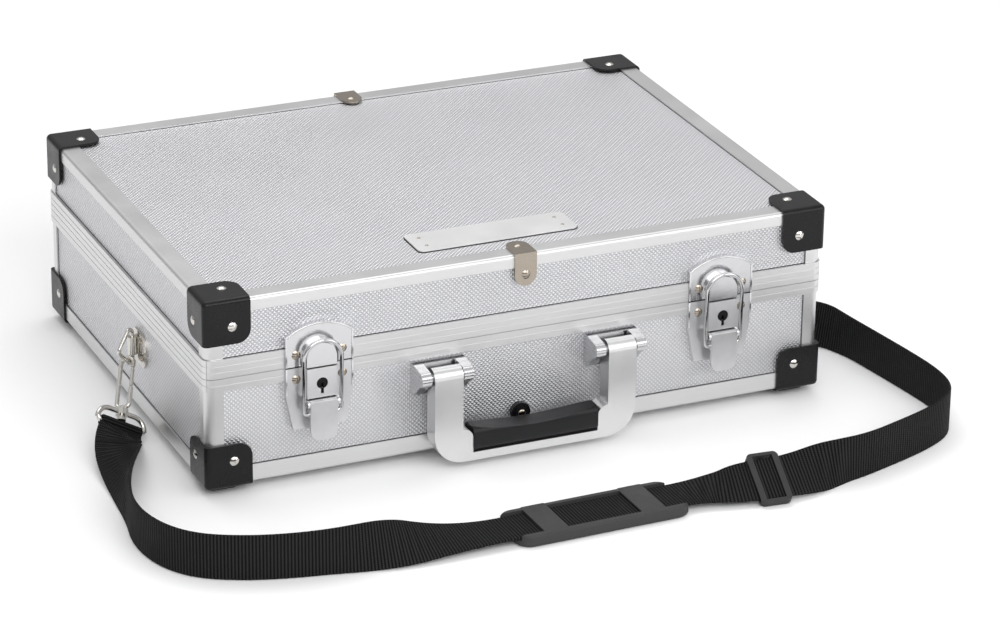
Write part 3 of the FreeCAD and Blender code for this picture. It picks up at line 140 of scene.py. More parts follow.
drawn, given, result = new_group("drawn_lines", {"Pitch mm": 0.6}, ["Height"])
spot = add(drawn, "ShaderNodeSeparateXYZ", {0: add(drawn, "ShaderNodeTexCoord").outputs["Object"]}).outputs
fine = sums(drawn, "DIVIDE", 1000.0, given["Pitch mm"])
slow = sums(drawn, "MULTIPLY", fine, 0.012)
streak = add(drawn, "ShaderNodeCombineXYZ", {0: sums(drawn, "MULTIPLY", spot[0], slow),
                                             1: sums(drawn, "MULTIPLY", spot[1], slow),
                                             2: sums(drawn, "MULTIPLY", spot[2], fine)})
lines = add(drawn, "ShaderNodeTexNoise", {"Vector": streak.outputs[0], "Scale": 1.0, "Detail": 3.0})
drawn.links.new(lines.outputs[0], result["Height"])

emboss, given, result = new_group("embossed_diamonds", {"Pitch mm": 2.6}, ["Height"])
coordinate = add(emboss, "ShaderNodeTexCoord").outputs
spot = add(emboss, "ShaderNodeSeparateXYZ", {0: coordinate["Object"]}).outputs
facing = add(emboss, "ShaderNodeSeparateXYZ", {0: coordinate["Normal"]}).outputs
end_wall = sums(emboss, "GREATER_THAN", sums(emboss, "ABSOLUTE", facing[0]), 0.5)
flat_wall = sums(emboss, "GREATER_THAN", sums(emboss, "ABSOLUTE", facing[2]), 0.5)
across = add(emboss, "ShaderNodeMix", {0: end_wall, 2: spot[0], 3: spot[1]}).outputs[0]
upward = add(emboss, "ShaderNodeMix", {0: flat_wall, 2: spot[2], 3: spot[1]}).outputs[0]
rate = sums(emboss, "DIVIDE", 707.0, given["Pitch mm"])
rising = sums(emboss, "PINGPONG", sums(emboss, "MULTIPLY", sums(emboss, "ADD", across, upward), rate), 0.5)
falling = sums(emboss, "PINGPONG", sums(emboss, "MULTIPLY", sums(emboss, "SUBTRACT", across, upward), rate), 0.5)
emboss.links.new(sums(emboss, "MULTIPLY", sums(emboss, "MINIMUM", rising, falling), 2.0), result["Height"])

grain, given, result = new_group("moulded_grain", {"Size mm": 0.8}, ["Height"])
spot = add(grain, "ShaderNodeTexCoord").outputs["Object"]
fine = sums(grain, "DIVIDE", 1000.0, given["Size mm"])
cells = add(grain, "ShaderNodeTexVoronoi", {"Vector": spot, "Scale": fine}, feature="SMOOTH_F1")
grain.links.new(cells.outputs[0], result["Height"])
print("effects", [tree.name for tree in bpy.data.node_groups])

# %% [markdown]
# ## Finishes
# A metal takes its colour from what it mirrors, so its roughness does most of the work: about 0.1 for
# chrome, 0.3 for satin extrusion, 0.4 for sheet. Plastics and rubber are dark with a soft, broken gloss.
# Numbers that are the same all over sit on the shader itself; only what varies comes through a group.


# %% Finish helpers
def finish_of(name, colour, metallic, relief=None, depth=0.0, low=0.3, high=0.4, patch=30.0, darker=0.9, painted_pit_shade=1.0,
              **settings):
    """A material with uneven gloss, random tone and an optional relief with painted shade in its pits."""
    material = bpy.data.materials.new(name)
    material.use_nodes = True
    tree = material.node_tree
    shader = tree.nodes["Principled BSDF"]
    shader.inputs["Metallic"].default_value = metallic
    for label, value in settings.items():
        shader.inputs[label.replace("_", " ")].default_value = value
    gloss = place(tree, uneven, Size_mm=patch, Low=low, High=high)
    tree.links.new(gloss["Gloss"], shader.inputs["Roughness"])
    shade = add(tree, "ShaderNodeMix", {0: gloss["Mask"], 6: (*[c * darker for c in colour], 1), 7: (*colour, 1)},
                data_type="RGBA").outputs[2]
    if relief:
        height = place(tree, relief[0], **relief[1])["Height"]
        bump = add(tree, "ShaderNodeBump", {"Height": height, "Distance": depth * MM, "Strength": 1.0})
        tree.links.new(bump.outputs[0], shader.inputs["Normal"])
        # Low points of the relief get a darker colour: painted shade in the pits.
        shade = add(tree, "ShaderNodeMix", {0: height, 6: (*[c * painted_pit_shade for c in colour], 1), 7: shade},
                    data_type="RGBA").outputs[2]
    tree.links.new(shade, shader.inputs["Base Color"])
    return material


# %% Finishes of the rigid pieces
# The embossed hollows of the sheet get painted shade: their colour falls to 0.58 of the sheet's.
sheet_metal = finish_of("embossed_sheet", (0.94, 0.94, 0.965), 1.0, (emboss, {"Pitch_mm": 2.05}), 0.38,
                        0.36, 0.44, 60, painted_pit_shade=0.58)
extrusion = finish_of("satin_extrusion", (0.72, 0.72, 0.72), 1.0, (drawn, {"Pitch_mm": 0.7}), 0.02, 0.34, 0.43, 45)
handle_metal = finish_of("satin_handle", (0.76, 0.76, 0.76), 1.0, (grain, {"Size_mm": 0.5}), 0.01, 0.28, 0.38, 25)
plate_metal = finish_of("bright_plate", (0.90, 0.90, 0.89), 0.75, (drawn, {"Pitch_mm": 0.4}), 0.01, 0.30, 0.40, 30,
                        0.97)
chrome = finish_of("latch_chrome", (0.60, 0.60, 0.61), 1.0, (grain, {"Size_mm": 6.0}), 0.006, 0.05, 0.12, 18)
plated = finish_of("plated_steel", (0.64, 0.64, 0.65), 1.0, (grain, {"Size_mm": 4.0}), 0.006, 0.15, 0.22, 14)
satin_plated = finish_of("satin_plated", (0.74, 0.74, 0.75), 1.0, (grain, {"Size_mm": 4.0}), 0.006, 0.30, 0.38, 14)
nickel = finish_of("bright_nickel", (0.385, 0.34, 0.285), 1.0, (grain, {"Size_mm": 3.0}), 0.006, 0.14, 0.26, 12)
polished = finish_of("polished_nickel", (0.66, 0.64, 0.60), 1.0, (grain, {"Size_mm": 3.0}), 0.006, 0.10, 0.18, 12)
# Near black lock finish; the same finish also paints the shade in the keyholes and the latch slits.
lock_steel_and_slit_shade = finish_of("lock_steel", (0.006, 0.006, 0.006), 0.0, (grain, {"Size_mm": 0.6}), 0.02, 0.5, 0.7, 8,
                       Specular_IOR_Level=0.15)
cap_plastic = finish_of("cap_plastic", (0.006, 0.006, 0.007), 0.0, (grain, {"Size_mm": 0.7}), 0.03, 0.22, 0.36, 14,
                        0.7, Specular_IOR_Level=0.25)
foot_rubber = finish_of("foot_rubber", (0.008, 0.008, 0.008), 0.0, (grain, {"Size_mm": 0.9}), 0.05, 0.6, 0.75, 10, 0.7,
                        Specular_IOR_Level=0.2)
grip_rubber = finish_of("grip_rubber", (0.009, 0.009, 0.010), 0.0, (grain, {"Size_mm": 0.8}), 0.02, 0.30, 0.44, 16,
                        0.7, Specular_IOR_Level=0.25)
pad_rubber = finish_of("pad_rubber", (0.042, 0.042, 0.043), 0.0, (grain, {"Size_mm": 0.8}), 0.04, 0.5, 0.65, 15, 0.8,
                       Specular_IOR_Level=0.25)
slider_plastic = finish_of("slider_plastic", (0.028, 0.028, 0.029), 0.0, (grain, {"Size_mm": 0.6}), 0.02, 0.38, 0.52,
                           10, 0.8, Specular_IOR_Level=0.3)
foam = finish_of("dark_foam", (0.030, 0.030, 0.033), 0.0, (grain, {"Size_mm": 1.1}), 0.5, 0.85, 0.95, 20, 0.6,
                 Sheen_Weight=0.1, Specular_IOR_Level=0.15)
# Near black finish for the strips that paint the shadow in the gaps between sheet and profile.
painted_seam_shadow = finish_of("painted_seam_shadow", (0.03, 0.03, 0.03), 0.0, (grain, {"Size_mm": 1.3}), 0.2, 0.6, 0.8, 10, 0.7,
                        Specular_IOR_Level=0.2)
print("finishes", [material.name for material in bpy.data.materials])

# %% [markdown]
# ## Dressing the CAD pieces
# A rigid piece whose solid already has the right shape keeps it and only changes its material. The record
# says which slot each node belongs to, so one table from slot to finish dresses the whole case.

# %% Finishes onto the CAD nodes
FINISH = {"panel_aluminium": sheet_metal, "profile_aluminium": extrusion, "handle_aluminium": handle_metal,
          "plate_aluminium": plate_metal, "cap_plastic": cap_plastic, "foot_rubber": foot_rubber,
          "grip_rubber": grip_rubber, "latch_chrome": chrome, "lock_steel": lock_steel_and_slit_shade, "nickel": nickel,
          "slider_plastic": slider_plastic, "pad_rubber": pad_rubber, "foam": foam}
dressed = 0
for part in frame["record"]["subparts"]:
    finish = FINISH.get(part["material_slot"])
    if part["node"].endswith(("_keeper", "_bracket")):
        finish = plated
    if part["node"].endswith(("_housing", "_latch_plate", "_lever")):
        finish = satin_plated
    if part["node"].endswith(("_hook", "_gate", "_ring", "_loop", "_cap_rivets", "_ring_plate")):
        finish = polished
    if finish:
        mesh = nodes[part["node"]].data
        mesh.materials.clear()
        mesh.materials.append(finish)
        dressed += 1
print("dressed", dressed, "nodes")

# %% [markdown]
# ## The route of the strap
# A strap lies where its ends and its weight let it: it hangs from the left loop, rolls onto its edge, runs
# along the floor in front of the case and comes back to the right loop. One smooth NURBS line carries it.
# A second spline with the same number of points carries the roll, so both are read off at the same steps.

# %% Strap route
STRAP_WIDE = 30 * MM
STRAP_THICK = 1.8 * MM
BAR = Vector((-235.9, -48.13, 11.76))
BAR_RUN = Vector((-0.3528, -0.6924, -0.6293))
END_ROLL = 40
ROUTE = [(-236.96, -50.21, 9.87, END_ROLL), (-246.0, -71.0, 12.0, 2), (-257.0, -114.0, 13.8, -52),
         (-268.0, -156.0, 15.8, -86), (-275.7, -188.0, 15.4, -90), (-271.5, -219.0, 15.4, -90),
         (-256.8, -243.0, 15.4, -90), (-231.0, -257.5, 15.4, -90), (-202.0, -266.0, 15.4, -90),
         (-171.0, -270.5, 15.4, -86), (-141.0, -271.0, 14.2, -56), (-108.0, -266.0, 8.2, -14),
         (-76.0, -264.6, 5.8, 0), (-42.0, -263.77, 5.8, 0), (40.0, -261.78, 5.8, 0), (72.0, -261.0, 5.8, 0),
         (94.0, -271.0, 11.6, -30), (132.0, -275.0, 12.2, -30), (160.0, -276.0, 16.0, -80),
         (183.0, -271.5, 15.4, -90), (210.0, -262.5, 15.4, -90), (236.0, -252.8, 15.4, -90),
         (257.5, -241.0, 15.4, -90), (269.0, -225.0, 15.4, -90), (271.8, -200.0, 15.4, -90),
         (268.0, -167.0, 15.4, -90), (263.0, -133.5, 15.4, -90), (258.0, -101.0, 15.4, -90),
         (251.0, -75.5, 15.2, -110), (236.96, -50.21, 9.87, END_ROLL - 180)]


def read_spline(name, points):
    """The points that a smooth NURBS line through these control points passes."""
    data = bpy.data.curves.new(name, "CURVE")
    data.dimensions = "3D"
    data.resolution_u = 10
    spline = data.splines.new("NURBS")
    spline.points.add(len(points) - 1)
    for point, co in zip(spline.points, points):
        point.co = (*co, 1)
    spline.order_u = 3
    spline.use_endpoint_u = True
    helper = bpy.data.objects.new(name, data)
    scene.collection.objects.link(helper)
    mesh = bpy.data.meshes.new_from_object(helper.evaluated_get(bpy.context.evaluated_depsgraph_get()))
    spots = [vertex.co.copy() for vertex in mesh.vertices]
    bpy.data.objects.remove(helper)
    return spots


line = read_spline("strap_route", [Vector(point[:3]) * MM for point in ROUTE])
rolls = [spot.x for spot in read_spline("strap_roll", [(math.radians(point[3]), 0, 0) for point in ROUTE])]
runs = [0.0]
for before, after in zip(line, line[1:]):
    runs.append(runs[-1] + (after - before).length)
print("strap", len(line), "steps", round(runs[-1] * 1000, 1), "mm")

# %% [markdown]
# ## Webbing, pressed from one outline
# Webbing is a flat woven band with soft edges. The outline of its section is drawn once, and each step of
# the route extrudes its edge loop and carries it into the next frame, as a loom lets the band out. Two
# numbers ride on every vertex, the length along the band and the place across it, and become the UV map.


# %% Sweeping a band
def band_frame(spot, run, roll):
    """A matrix whose X is the band's width, Y its thickness and Z its run."""
    flat_side = run.cross(Vector((0, 0, 1))).normalized()
    rise = flat_side.cross(run)
    wide = flat_side * math.cos(roll) + rise * math.sin(roll)
    return Matrix.Translation(spot) @ Matrix((wide, run.cross(wide) * -1, run)).transposed().to_4x4()


def band_frames(spots, turns, first=None, last=None):
    found = []
    for number, spot in enumerate(spots):
        ahead = spots[min(number + 1, len(spots) - 1)] - spots[max(number - 1, 0)]
        if number == 0 and first:
            ahead = first
        if number == len(spots) - 1 and last:
            ahead = last
        found.append(band_frame(spot, ahead.normalized(), turns[number]))
    return found


def band_section(wide, thick, steps=6):
    """Points of a flat section with rounded edges, once round."""
    half, soft = wide / 2 - thick / 2, thick / 2
    outline = []
    for sign, start in ((1, -90), (-1, 90)):
        for number in range(steps + 1):
            angle = math.radians(start + 180 * number / steps)
            outline.append((sign * half + soft * math.cos(angle), soft * math.sin(angle)))
    return outline


def sweep_band(frames, wide, thick, lift=0.0):
    """Extrude a section from frame to frame; lift moves it off the band's middle."""
    bm = bmesh.new()
    along = bm.verts.layers.float.new("along")
    over = bm.verts.layers.float.new("over")
    ring = []
    for x, y in band_section(wide, thick):
        corner = bm.verts.new(frames[0] @ Vector((x, y + lift, 0)))
        corner[over] = x
        ring.append(corner)
    edges = [bm.edges.new((a, b)) for a, b in zip(ring, ring[1:] + ring[:1])]
    run = 0.0
    for before, after in zip(frames, frames[1:]):
        run += (after.translation - before.translation).length
        made = bmesh.ops.extrude_edge_only(bm, edges=edges)["geom"]
        corners = [item for item in made if isinstance(item, bmesh.types.BMVert)]
        edges = [item for item in made if isinstance(item, bmesh.types.BMEdge)]
        bmesh.ops.transform(bm, matrix=after @ before.inverted(), verts=corners)
        for corner in corners:
            corner[along] = run
    bmesh.ops.holes_fill(bm, edges=[edge for edge in bm.edges if edge.is_boundary])
    cloth = bm.loops.layers.uv.new("UVMap")
    for face in bm.faces:
        for loop in face.loops:
            loop[cloth].uv = (loop.vert[along], loop.vert[over])
    return bm


def keep(name, bm, material, body, replaced=(), smooth=40):
    """Make a finished bmesh an object that rides on a body."""
    bmesh.ops.recalc_face_normals(bm, faces=bm.faces)
    mesh = bpy.data.meshes.new(name)
    bm.to_mesh(mesh)
    bm.free()
    mesh.shade_smooth()
    mesh.set_sharp_from_angle(angle=math.radians(smooth))
    mesh.materials.append(material)
    obj = bpy.data.objects.new(name, mesh)
    scene.collection.objects.link(obj)
    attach(obj, body)
    if replaced:
        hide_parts(*replaced)
    return obj


# %% [markdown]
# ## The weave
# Seen close, the band is rows of thick weft ribs, each broken into small beads where the warp crosses it,
# with every second row set half a bead over. The pattern follows the band, so it reads the UV map.

# %% Webbing finish
webbing = bpy.data.materials.new("black_webbing")
webbing.use_nodes = True
tree = webbing.node_tree
shader = tree.nodes["Principled BSDF"]
shader.inputs["Specular IOR Level"].default_value = 0.08
woven = add(tree, "ShaderNodeSeparateXYZ", {0: add(tree, "ShaderNodeUVMap", uv_map="UVMap").outputs[0]}).outputs
RIB = 2.1
BEAD = 1.4
rib_count = sums(tree, "MULTIPLY", woven[0], 1000 / RIB)
rib = sums(tree, "ABSOLUTE", sums(tree, "SINE", sums(tree, "MULTIPLY", rib_count, math.pi)))
offset = sums(tree, "MULTIPLY", sums(tree, "FLOORED_MODULO", sums(tree, "FLOOR", rib_count), 2.0), 0.5)
bead_count = sums(tree, "ADD", sums(tree, "MULTIPLY", woven[1], 1000 / BEAD), offset)
bead = sums(tree, "ABSOLUTE", sums(tree, "SINE", sums(tree, "MULTIPLY", bead_count, math.pi)))
weave = sums(tree, "MULTIPLY", sums(tree, "POWER", rib, 1.5), sums(tree, "ADD", sums(tree, "MULTIPLY", bead, 0.45), 0.55))
bump = add(tree, "ShaderNodeBump", {"Height": weave, "Distance": 0.8 * MM, "Strength": 1.0})
tree.links.new(bump.outputs[0], shader.inputs["Normal"])
# Colour runs from near black in the hollows to grey on the rib tops: painted shade and painted highlight.
rib_highlight_and_shade = add(tree, "ShaderNodeMix", {0: weave, 6: (0.0005, 0.0005, 0.0005, 1), 7: (0.033, 0.033, 0.033, 1)},
             data_type="RGBA")
tree.links.new(rib_highlight_and_shade.outputs[2], shader.inputs["Base Color"])
tree.links.new(place(tree, uneven, Size_mm=25, Low=0.62, High=0.78)["Gloss"], shader.inputs["Roughness"])

# %% Webbing
first_run = BAR_RUN.normalized()
last_run = Vector((first_run.x, -first_run.y, -first_run.z))
strap_frames = band_frames(line, rolls, first_run, last_run)
strap = keep("strap_band", sweep_band(strap_frames, STRAP_WIDE, STRAP_THICK), webbing, "base",
             ["strap_webbing"], 60)
print("webbing", len(strap.data.polygons), "faces")

# %% [markdown]
# ## The folded ends
# Each end of the band goes round the bar of its loop and is sewn back on itself. Round the bar it is a
# sleeve: a short strip of section spun once about the bar. The tail is a second layer that follows the
# first steps of the same route, lifted by one thickness.

# %% Sleeves and tails
SLEEVE_IN = 2.1 * MM
TAIL_LONG = 21 * MM


def sleeve(bar, direction, out):
    """A turn of webbing round a loop's bar: a strip of section spun about it."""
    bm = bmesh.new()
    third = direction.cross(out).normalized()
    inside = out.cross(direction).cross(direction * -1).normalized()
    corners = [bm.verts.new(bar + direction * x + inside * (SLEEVE_IN + STRAP_THICK / 2 + y))
               for x, y in band_section(STRAP_WIDE, STRAP_THICK)]
    edges = [bm.edges.new((a, b)) for a, b in zip(corners, corners[1:] + corners[:1])]
    bmesh.ops.spin(bm, geom=corners + edges, cent=bar, axis=direction, dvec=third * 0, angle=math.tau, steps=28,
                   use_merge=True)
    bmesh.ops.remove_doubles(bm, verts=bm.verts, dist=1e-6)
    cloth = bm.loops.layers.uv.new("UVMap")
    for face in bm.faces:
        for loop in face.loops:
            reach = loop.vert.co - bar
            turn = math.atan2(reach.dot(third), reach.dot(inside))
            loop[cloth].uv = (turn * (SLEEVE_IN + STRAP_THICK), reach.dot(direction))
    return bm


left_wide = band_frame(Vector(), first_run, math.radians(END_ROLL)).col[0].to_3d()
ends = {"left": (BAR * MM, left_wide, first_run, strap_frames, 1.06),
        "right": (Vector((-BAR.x, BAR.y, BAR.z)) * MM, Vector((-left_wide.x, left_wide.y, left_wide.z)),
                  last_run * -1, strap_frames[::-1], -1.06)}
for name, (bar, direction, out, frames, above) in ends.items():
    keep(f"{name}_strap_sleeve", sleeve(bar, direction, out), webbing, "base", smooth=60)
    length, count = 0.0, 1
    while length < TAIL_LONG:
        length += (frames[count].translation - frames[count - 1].translation).length
        count += 1
    tail = sweep_band(frames[:count], STRAP_WIDE * 0.985, STRAP_THICK, STRAP_THICK * above)
    keep(f"{name}_strap_tail", tail, webbing, "base", smooth=60)

# %% [markdown]
# ## Slabs with soft edges
# Pads, foam and painted seam shadows all start as a plain block. A cube is scaled, its upright edges are
# bevelled into round corners, and then the rims are bevelled a little, which is what catches the light.


# %% A soft block
def slab(bm, middle, size, corner=0.0, soft=0.0, segments=3):
    """Add a block with round corners and soft rims to a bmesh, in millimetres."""
    block = bmesh.ops.create_cube(bm, matrix=Matrix.LocRotScale(Vector(middle) * MM, None, Vector(size) * MM))["verts"]
    faces = {face for vert in block for face in vert.link_faces}
    if corner:
        upright = {edge for face in faces for edge in face.edges
                   if abs(edge.verts[0].co.z - edge.verts[1].co.z) > 1e-7}
        made = bmesh.ops.bevel(bm, geom=list(upright), offset=corner * MM, segments=8, profile=0.5,
                               affect="EDGES", material=-1)
        faces = {face for vert in made["verts"] for face in vert.link_faces}
    if soft:
        level = {edge for face in faces for edge in face.edges if len(edge.link_faces) == 2
                 and abs(edge.link_faces[0].normal.z - edge.link_faces[1].normal.z) > 0.5}
        bmesh.ops.bevel(bm, geom=list(level), offset=soft * MM, segments=segments, profile=0.5, affect="EDGES",
                        material=-1)


# %% [markdown]
# ## The shoulder pad
# The pad is moulded rubber: a tray under the webbing, two raised rails along it, and two flat bands that
# the webbing is threaded under. A rail is the outline of the whole pad with all but a strip cut away, so its
# ends follow the round corners. It is built flat at the origin and set on the strap's run with one matrix.

# %% Shoulder pad
PAD_LONG, PAD_WIDE, PAD_DEEP = 118, 40, 4
BAND_LONG, BAND_BACK, BAND_THICK = 16.5, 17.5, 1.2
UNDER = 1.25
pad_bm = bmesh.new()
slab(pad_bm, (0, 0, -UNDER - PAD_DEEP / 2), (PAD_LONG, PAD_WIDE, PAD_DEEP), 10, 1.4)
for sign in (-1, 1):
    rail_bm = bmesh.new()
    slab(rail_bm, (0, 0, -0.9), (PAD_LONG - 1, PAD_WIDE, 6.6), 10, 1.6, 5)
    cut = bmesh.ops.bisect_plane(rail_bm, geom=rail_bm.verts[:] + rail_bm.edges[:] + rail_bm.faces[:], dist=1e-7,
                                 plane_co=(0, sign * 15.7 * MM, 0), plane_no=(0, sign, 0), clear_inner=True)
    bmesh.ops.edgeloop_fill(rail_bm, edges=[item for item in cut["geom_cut"] if isinstance(item, bmesh.types.BMEdge)])
    rail = bpy.data.meshes.new("pad_rail")
    rail_bm.to_mesh(rail)
    rail_bm.free()
    pad_bm.from_mesh(rail)
    bpy.data.meshes.remove(rail)
    slab(pad_bm, (sign * (PAD_LONG / 2 - BAND_BACK - BAND_LONG / 2), 0, UNDER + BAND_THICK / 2),
         (BAND_LONG, PAD_WIDE - 0.4, BAND_THICK), 1.2, 0.45)
pad_from, pad_to = Vector((-76.0, -264.6, 5.8)), Vector((72.0, -261.0, 5.8))
pad_run = (pad_to - pad_from).normalized()
pad_axes = Matrix((pad_run, Vector((0, 0, 1)).cross(pad_run), Vector((0, 0, 1)))).transposed().to_4x4()
bmesh.ops.transform(pad_bm, matrix=Matrix.Translation((pad_from + pad_to) / 2 * MM) @ pad_axes, verts=pad_bm.verts)
pad = keep("strap_pad_soft", pad_bm, pad_rubber, "base", ["strap_pad"], 35)
print("pad", len(pad.data.polygons), "faces")

# %% [markdown]
# ## Foam lining
# Such a case is lined with foam: a tray in the base and an egg-crate slab in the lid. The wavy face is a
# grid whose height is one sine times another, and the flat back is the same grid extruded and levelled.

# %% Foam lining
LENGTH, DEPTH, SHIFT = 425, 308, 7.925
LINING_LONG, LINING_WIDE = LENGTH - 2 * 7.4, DEPTH - 2 * 7.4


def egg_crate(bm, long, wide, level, back, wave, pitch, facing):
    """A slab with a wavy face at one level and a flat back at another."""
    grid = bmesh.ops.create_grid(bm, x_segments=int(long / pitch * 4), y_segments=int(wide / pitch * 4), size=0.5,
                                 matrix=Matrix.LocRotScale(Vector((0, SHIFT, level)) * MM, None,
                                                           Vector((long, wide, 1)) * MM))["verts"]
    made = bmesh.ops.extrude_face_region(bm, geom=list({face for vert in grid for face in vert.link_faces}))["geom"]
    for item in made:
        if isinstance(item, bmesh.types.BMVert):
            item.co.z = back * MM
    for vert in grid:
        rise = (math.sin(math.tau * vert.co.x / (pitch * MM)) * math.sin(math.tau * vert.co.y / (pitch * MM)) - 1) / 2
        vert.co.z += facing * wave * rise * MM


tray_bm = bmesh.new()
TRAY_LOW, TRAY_TOP, TRAY_FLOOR, TRAY_WALL = 12.4, 78.5, 10, 8
egg_crate(tray_bm, LINING_LONG - 2 * TRAY_WALL, LINING_WIDE - 2 * TRAY_WALL, TRAY_LOW + TRAY_FLOOR, TRAY_LOW, 6, 22, 1)
for sign in (-1, 1):
    slab(tray_bm, (0, SHIFT + sign * (LINING_WIDE - TRAY_WALL) / 2, (TRAY_LOW + TRAY_TOP) / 2),
         (LINING_LONG, TRAY_WALL, TRAY_TOP - TRAY_LOW), 0, 1.5)
    slab(tray_bm, (sign * (LINING_LONG - TRAY_WALL) / 2, SHIFT, (TRAY_LOW + TRAY_TOP) / 2),
         (TRAY_WALL, LINING_WIDE - 2 * TRAY_WALL, TRAY_TOP - TRAY_LOW), 0, 1.5)
tray = keep("base_foam_lining", tray_bm, foam, "base", ["base_foam_tray"], 50)
slab_bm = bmesh.new()
egg_crate(slab_bm, LINING_LONG, LINING_WIDE, 110.6, 126.6, 9, 22, -1)
lid_foam = keep("lid_foam_lining", slab_bm, foam, "lid", ["lid_foam_slab"], 50)
print("foam", len(tray.data.polygons), len(lid_foam.data.polygons), "faces")

# %% [markdown]
# ## Painted shadow in the seams between sheet and profile
# Where a sheet slides behind the flange of a profile a narrow gap lies in shadow, and that dark line does
# more for the shape than any shading. Each gap's shadow is painted as a hair-thin dark strip on the face
# of the sheet. A dark bed under the name plate paints the shadow at its edge, and dark slabs paint the shade
# at the bottom of the slot under each lock, in the slit between keeper and plate, and above each lever.

# %% Panel seam shadows
WALL, POST, TOP_FLANGE = 1.2, 11.5, 13
HAIR, PROUD = 0.55, 0.35


def seam_shadow_strips(name, body, low, high, top=None):
    """Painted shadow strips round the four walls of one half, and round its top panel if it has one."""
    bm = bmesh.new()
    for sign in (-1, 1):
        for along_x in (True, False):
            half = (LENGTH if along_x else DEPTH) / 2 - POST
            out = sign * ((DEPTH if along_x else LENGTH) / 2 - WALL)
            strips = [((0, low), (2 * half, HAIR)), ((0, high), (2 * half, HAIR)),
                      ((-half, (low + high) / 2), (HAIR, high - low)), ((half, (low + high) / 2), (HAIR, high - low))]
            for (across, level), (wide, tall) in strips:
                middle = (across, SHIFT + out, level) if along_x else (out, SHIFT + across, level)
                slab(bm, middle, (wide, PROUD, tall) if along_x else (PROUD, wide, tall))
        if top:
            slab(bm, (0, SHIFT + sign * (DEPTH / 2 - TOP_FLANGE), top), (LENGTH - 2 * TOP_FLANGE, HAIR, PROUD))
            slab(bm, (sign * (LENGTH / 2 - TOP_FLANGE), SHIFT, top), (HAIR, DEPTH - 2 * TOP_FLANGE, PROUD))
    return keep(name, bm, painted_seam_shadow, body)


base_seam_shadows = seam_shadow_strips("base_panel_seam_shadows", "base", 19.1, 72.3)
lid_seam_shadows = seam_shadow_strips("lid_panel_seam_shadows", "lid", 93.9, 123.4, 130.7)
# A dark slab a little larger than the name plate lies under it: painted shadow round the plate's edge.
plate_shadow_bm = bmesh.new()
slab(plate_shadow_bm, (-3.5, SHIFT - DEPTH / 2 + 43, 130.9), (110.9, 29.9, 0.5), 4.4)
keep("name_plate_shadow_bed", plate_shadow_bm, painted_seam_shadow, "lid")
key_bm = bmesh.new()
for sign in (-1, 1):
    # Painted shade at the bottom of each keyhole's slot.
    slab(key_bm, (sign * 138.5, SHIFT - DEPTH / 2 - 6.6, 64.9), (1.8, 0.8, 2.8))
    # Painted shade in the slit between keeper and latch plate.
    slab(key_bm, (sign * 138.5, SHIFT - DEPTH / 2 - 1.5, 81.05), (44, 0.9, 0.6))
    # Painted shade in the slit above the lever.
    slab(key_bm, (sign * 138.5, SHIFT - DEPTH / 2 - 6.6, 60.25), (17, 1.0, 0.8))
keep("keyhole_and_slit_shade", key_bm, lock_steel_and_slit_shade, "base")
print("seam_shadow_strips", len(base_seam_shadows.data.polygons) + len(lid_seam_shadows.data.polygons), "faces")

# %% [markdown]
# ## Turned edges of the latches
# The keeper and the plate under it are pressed from sheet, and the press turns their edges up a little.
# That bright bead outlines a latch. Along the arch it is a small ring spun about the middle of the arch,
# and along the straight sides it is a thin block with soft rims.

# %% Turned edges
LATCH_X, HALF_PLATE, ARCH, ARCH_TOP = 138.5, 22.5, 36, 109.45
BEAD_WIDE = 1.1
PLATE_FACE = SHIFT - DEPTH / 2 - 2.2
SWEEP = math.asin((HALF_PLATE - BEAD_WIDE / 2) / (ARCH - BEAD_WIDE / 2))
SHOULDER = ARCH_TOP - ARCH + (ARCH - BEAD_WIDE / 2) * math.cos(SWEEP)
for side, x in (("left", -LATCH_X), ("right", LATCH_X)):
    keeper_bm = bmesh.new()
    middle = Vector((x, PLATE_FACE, ARCH_TOP - ARCH)) * MM
    start = (Matrix.Translation(middle) @ Matrix.Rotation(-SWEEP, 4, "Y")
             @ Matrix.Translation((0, 0, (ARCH - BEAD_WIDE / 2) * MM)) @ Matrix.Rotation(math.pi / 2, 4, "Y"))
    bmesh.ops.create_circle(keeper_bm, cap_ends=True, segments=12, radius=BEAD_WIDE / 2 * MM, matrix=start)
    bmesh.ops.spin(keeper_bm, geom=keeper_bm.verts[:] + keeper_bm.edges[:] + keeper_bm.faces[:], cent=middle,
                   axis=(0, 1, 0), angle=2 * SWEEP, steps=28)
    plate_bm = bmesh.new()
    for sign in (-1, 1):
        edge_x = x + sign * (HALF_PLATE - BEAD_WIDE / 2)
        slab(keeper_bm, (edge_x, PLATE_FACE, (SHOULDER + 81.5) / 2), (BEAD_WIDE, BEAD_WIDE, SHOULDER - 81.5), 0, 0.4)
        slab(plate_bm, (edge_x, PLATE_FACE, 71.9), (BEAD_WIDE, BEAD_WIDE, 17.8), 0, 0.4)
    keep(f"{side}_keeper_edge", keeper_bm, plated, "lid")
    keep(f"{side}_plate_edge", plate_bm, plated, "base")
print("latch edges turned")

# %% [markdown]
# ## The bumper's screw
# The rubber bumper behind the handle is held by a domed screw. A small ball, flattened and with its lower
# half cut away, gives the head.

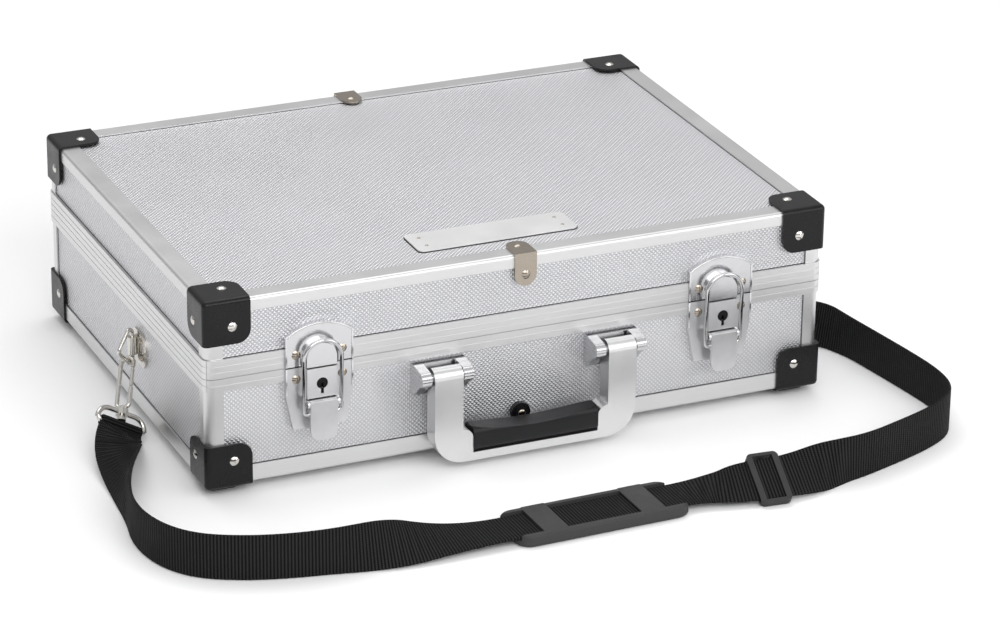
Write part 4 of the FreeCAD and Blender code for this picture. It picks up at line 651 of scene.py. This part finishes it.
# %% Bumper screw
screw_bm = bmesh.new()
bmesh.ops.create_uvsphere(screw_bm, u_segments=24, v_segments=12, radius=2.6 * MM)
bmesh.ops.bisect_plane(screw_bm, geom=screw_bm.verts[:] + screw_bm.edges[:] + screw_bm.faces[:], dist=1e-7,
                       plane_co=(0, 0, 0), plane_no=(0, 1, 0), clear_outer=True)
bmesh.ops.holes_fill(screw_bm, edges=[edge for edge in screw_bm.edges if edge.is_boundary])
bmesh.ops.scale(screw_bm, vec=(1, 0.35, 1), verts=screw_bm.verts)
bmesh.ops.translate(screw_bm, vec=Vector((-1, SHIFT - DEPTH / 2 + WALL - 5, 24)) * MM, verts=screw_bm.verts)
keep("bumper_screw", screw_bm, nickel, "base")
print("bumper screw added")

# %% [markdown]
# ## Floor and light
# The photograph is taken on white paper with large soft lamps. The floor is a pale sheet that shows white
# to the camera and still takes the shadow. The world is a soft studio: bright above, darker near the
# horizon, so that metal has something to mirror besides white.

# %% Floor and light
floor_bm = bmesh.new()
bmesh.ops.create_grid(floor_bm, x_segments=1, y_segments=1, size=12)
floor_mesh = bpy.data.meshes.new("paper_floor")
floor_bm.to_mesh(floor_mesh)
floor_bm.free()
paper = bpy.data.materials.new("white_paper")
paper.use_nodes = True
paper_shader = paper.node_tree.nodes["Principled BSDF"]
paper_shader.inputs["Base Color"].default_value = (0.93, 0.93, 0.93, 1)
paper_shader.inputs["Roughness"].default_value = 0.9
paper_shader.inputs["Specular IOR Level"].default_value = 0.1
floor_mesh.materials.append(paper)
floor = bpy.data.objects.new("paper_floor", floor_mesh)
scene.collection.objects.link(floor)

world = bpy.data.worlds.new("studio")
world.use_nodes = True
scene.world = world
sky = world.node_tree
height = add(sky, "ShaderNodeSeparateXYZ", {0: add(sky, "ShaderNodeTexCoord").outputs["Generated"]}).outputs[2]
ramp = add(sky, "ShaderNodeValToRGB", {0: sums(sky, "MULTIPLY_ADD", height, 0.5, 0.5)})
ramp.color_ramp.elements[0].position = 0.48
ramp.color_ramp.elements[0].color = (0.35, 0.35, 0.36, 1)
ramp.color_ramp.elements[1].position = 0.8
ramp.color_ramp.elements[1].color = (0.95, 0.95, 0.96, 1)
sky.links.new(ramp.outputs[0], sky.nodes["Background"].inputs["Color"])
sky.nodes["Background"].inputs["Strength"].default_value = 0.75


def lamp(name, spot, target, wide, high, watts):
    data = bpy.data.lights.new(name, "AREA")
    data.shape = "RECTANGLE"
    data.size = wide
    data.size_y = high
    data.energy = watts
    obj = bpy.data.objects.new(name, data)
    obj.matrix_world = (Matrix.Translation(spot)
                        @ (Vector(spot) - Vector(target)).to_track_quat("Z", "Y").to_matrix().to_4x4())
    scene.collection.objects.link(obj)


lamp("soft_key", (-0.3, -2.0, 1.5), (0, 0, 0.05), 2.2, 1.2, 30)
lamp("soft_fill", (1.5, -1.7, 0.85), (0, 0, 0.05), 1.4, 1.2, 12.5)
lamp("soft_top", (0.1, 0.8, 2.2), (0, 0, 0.1), 2.0, 1.4, 17)
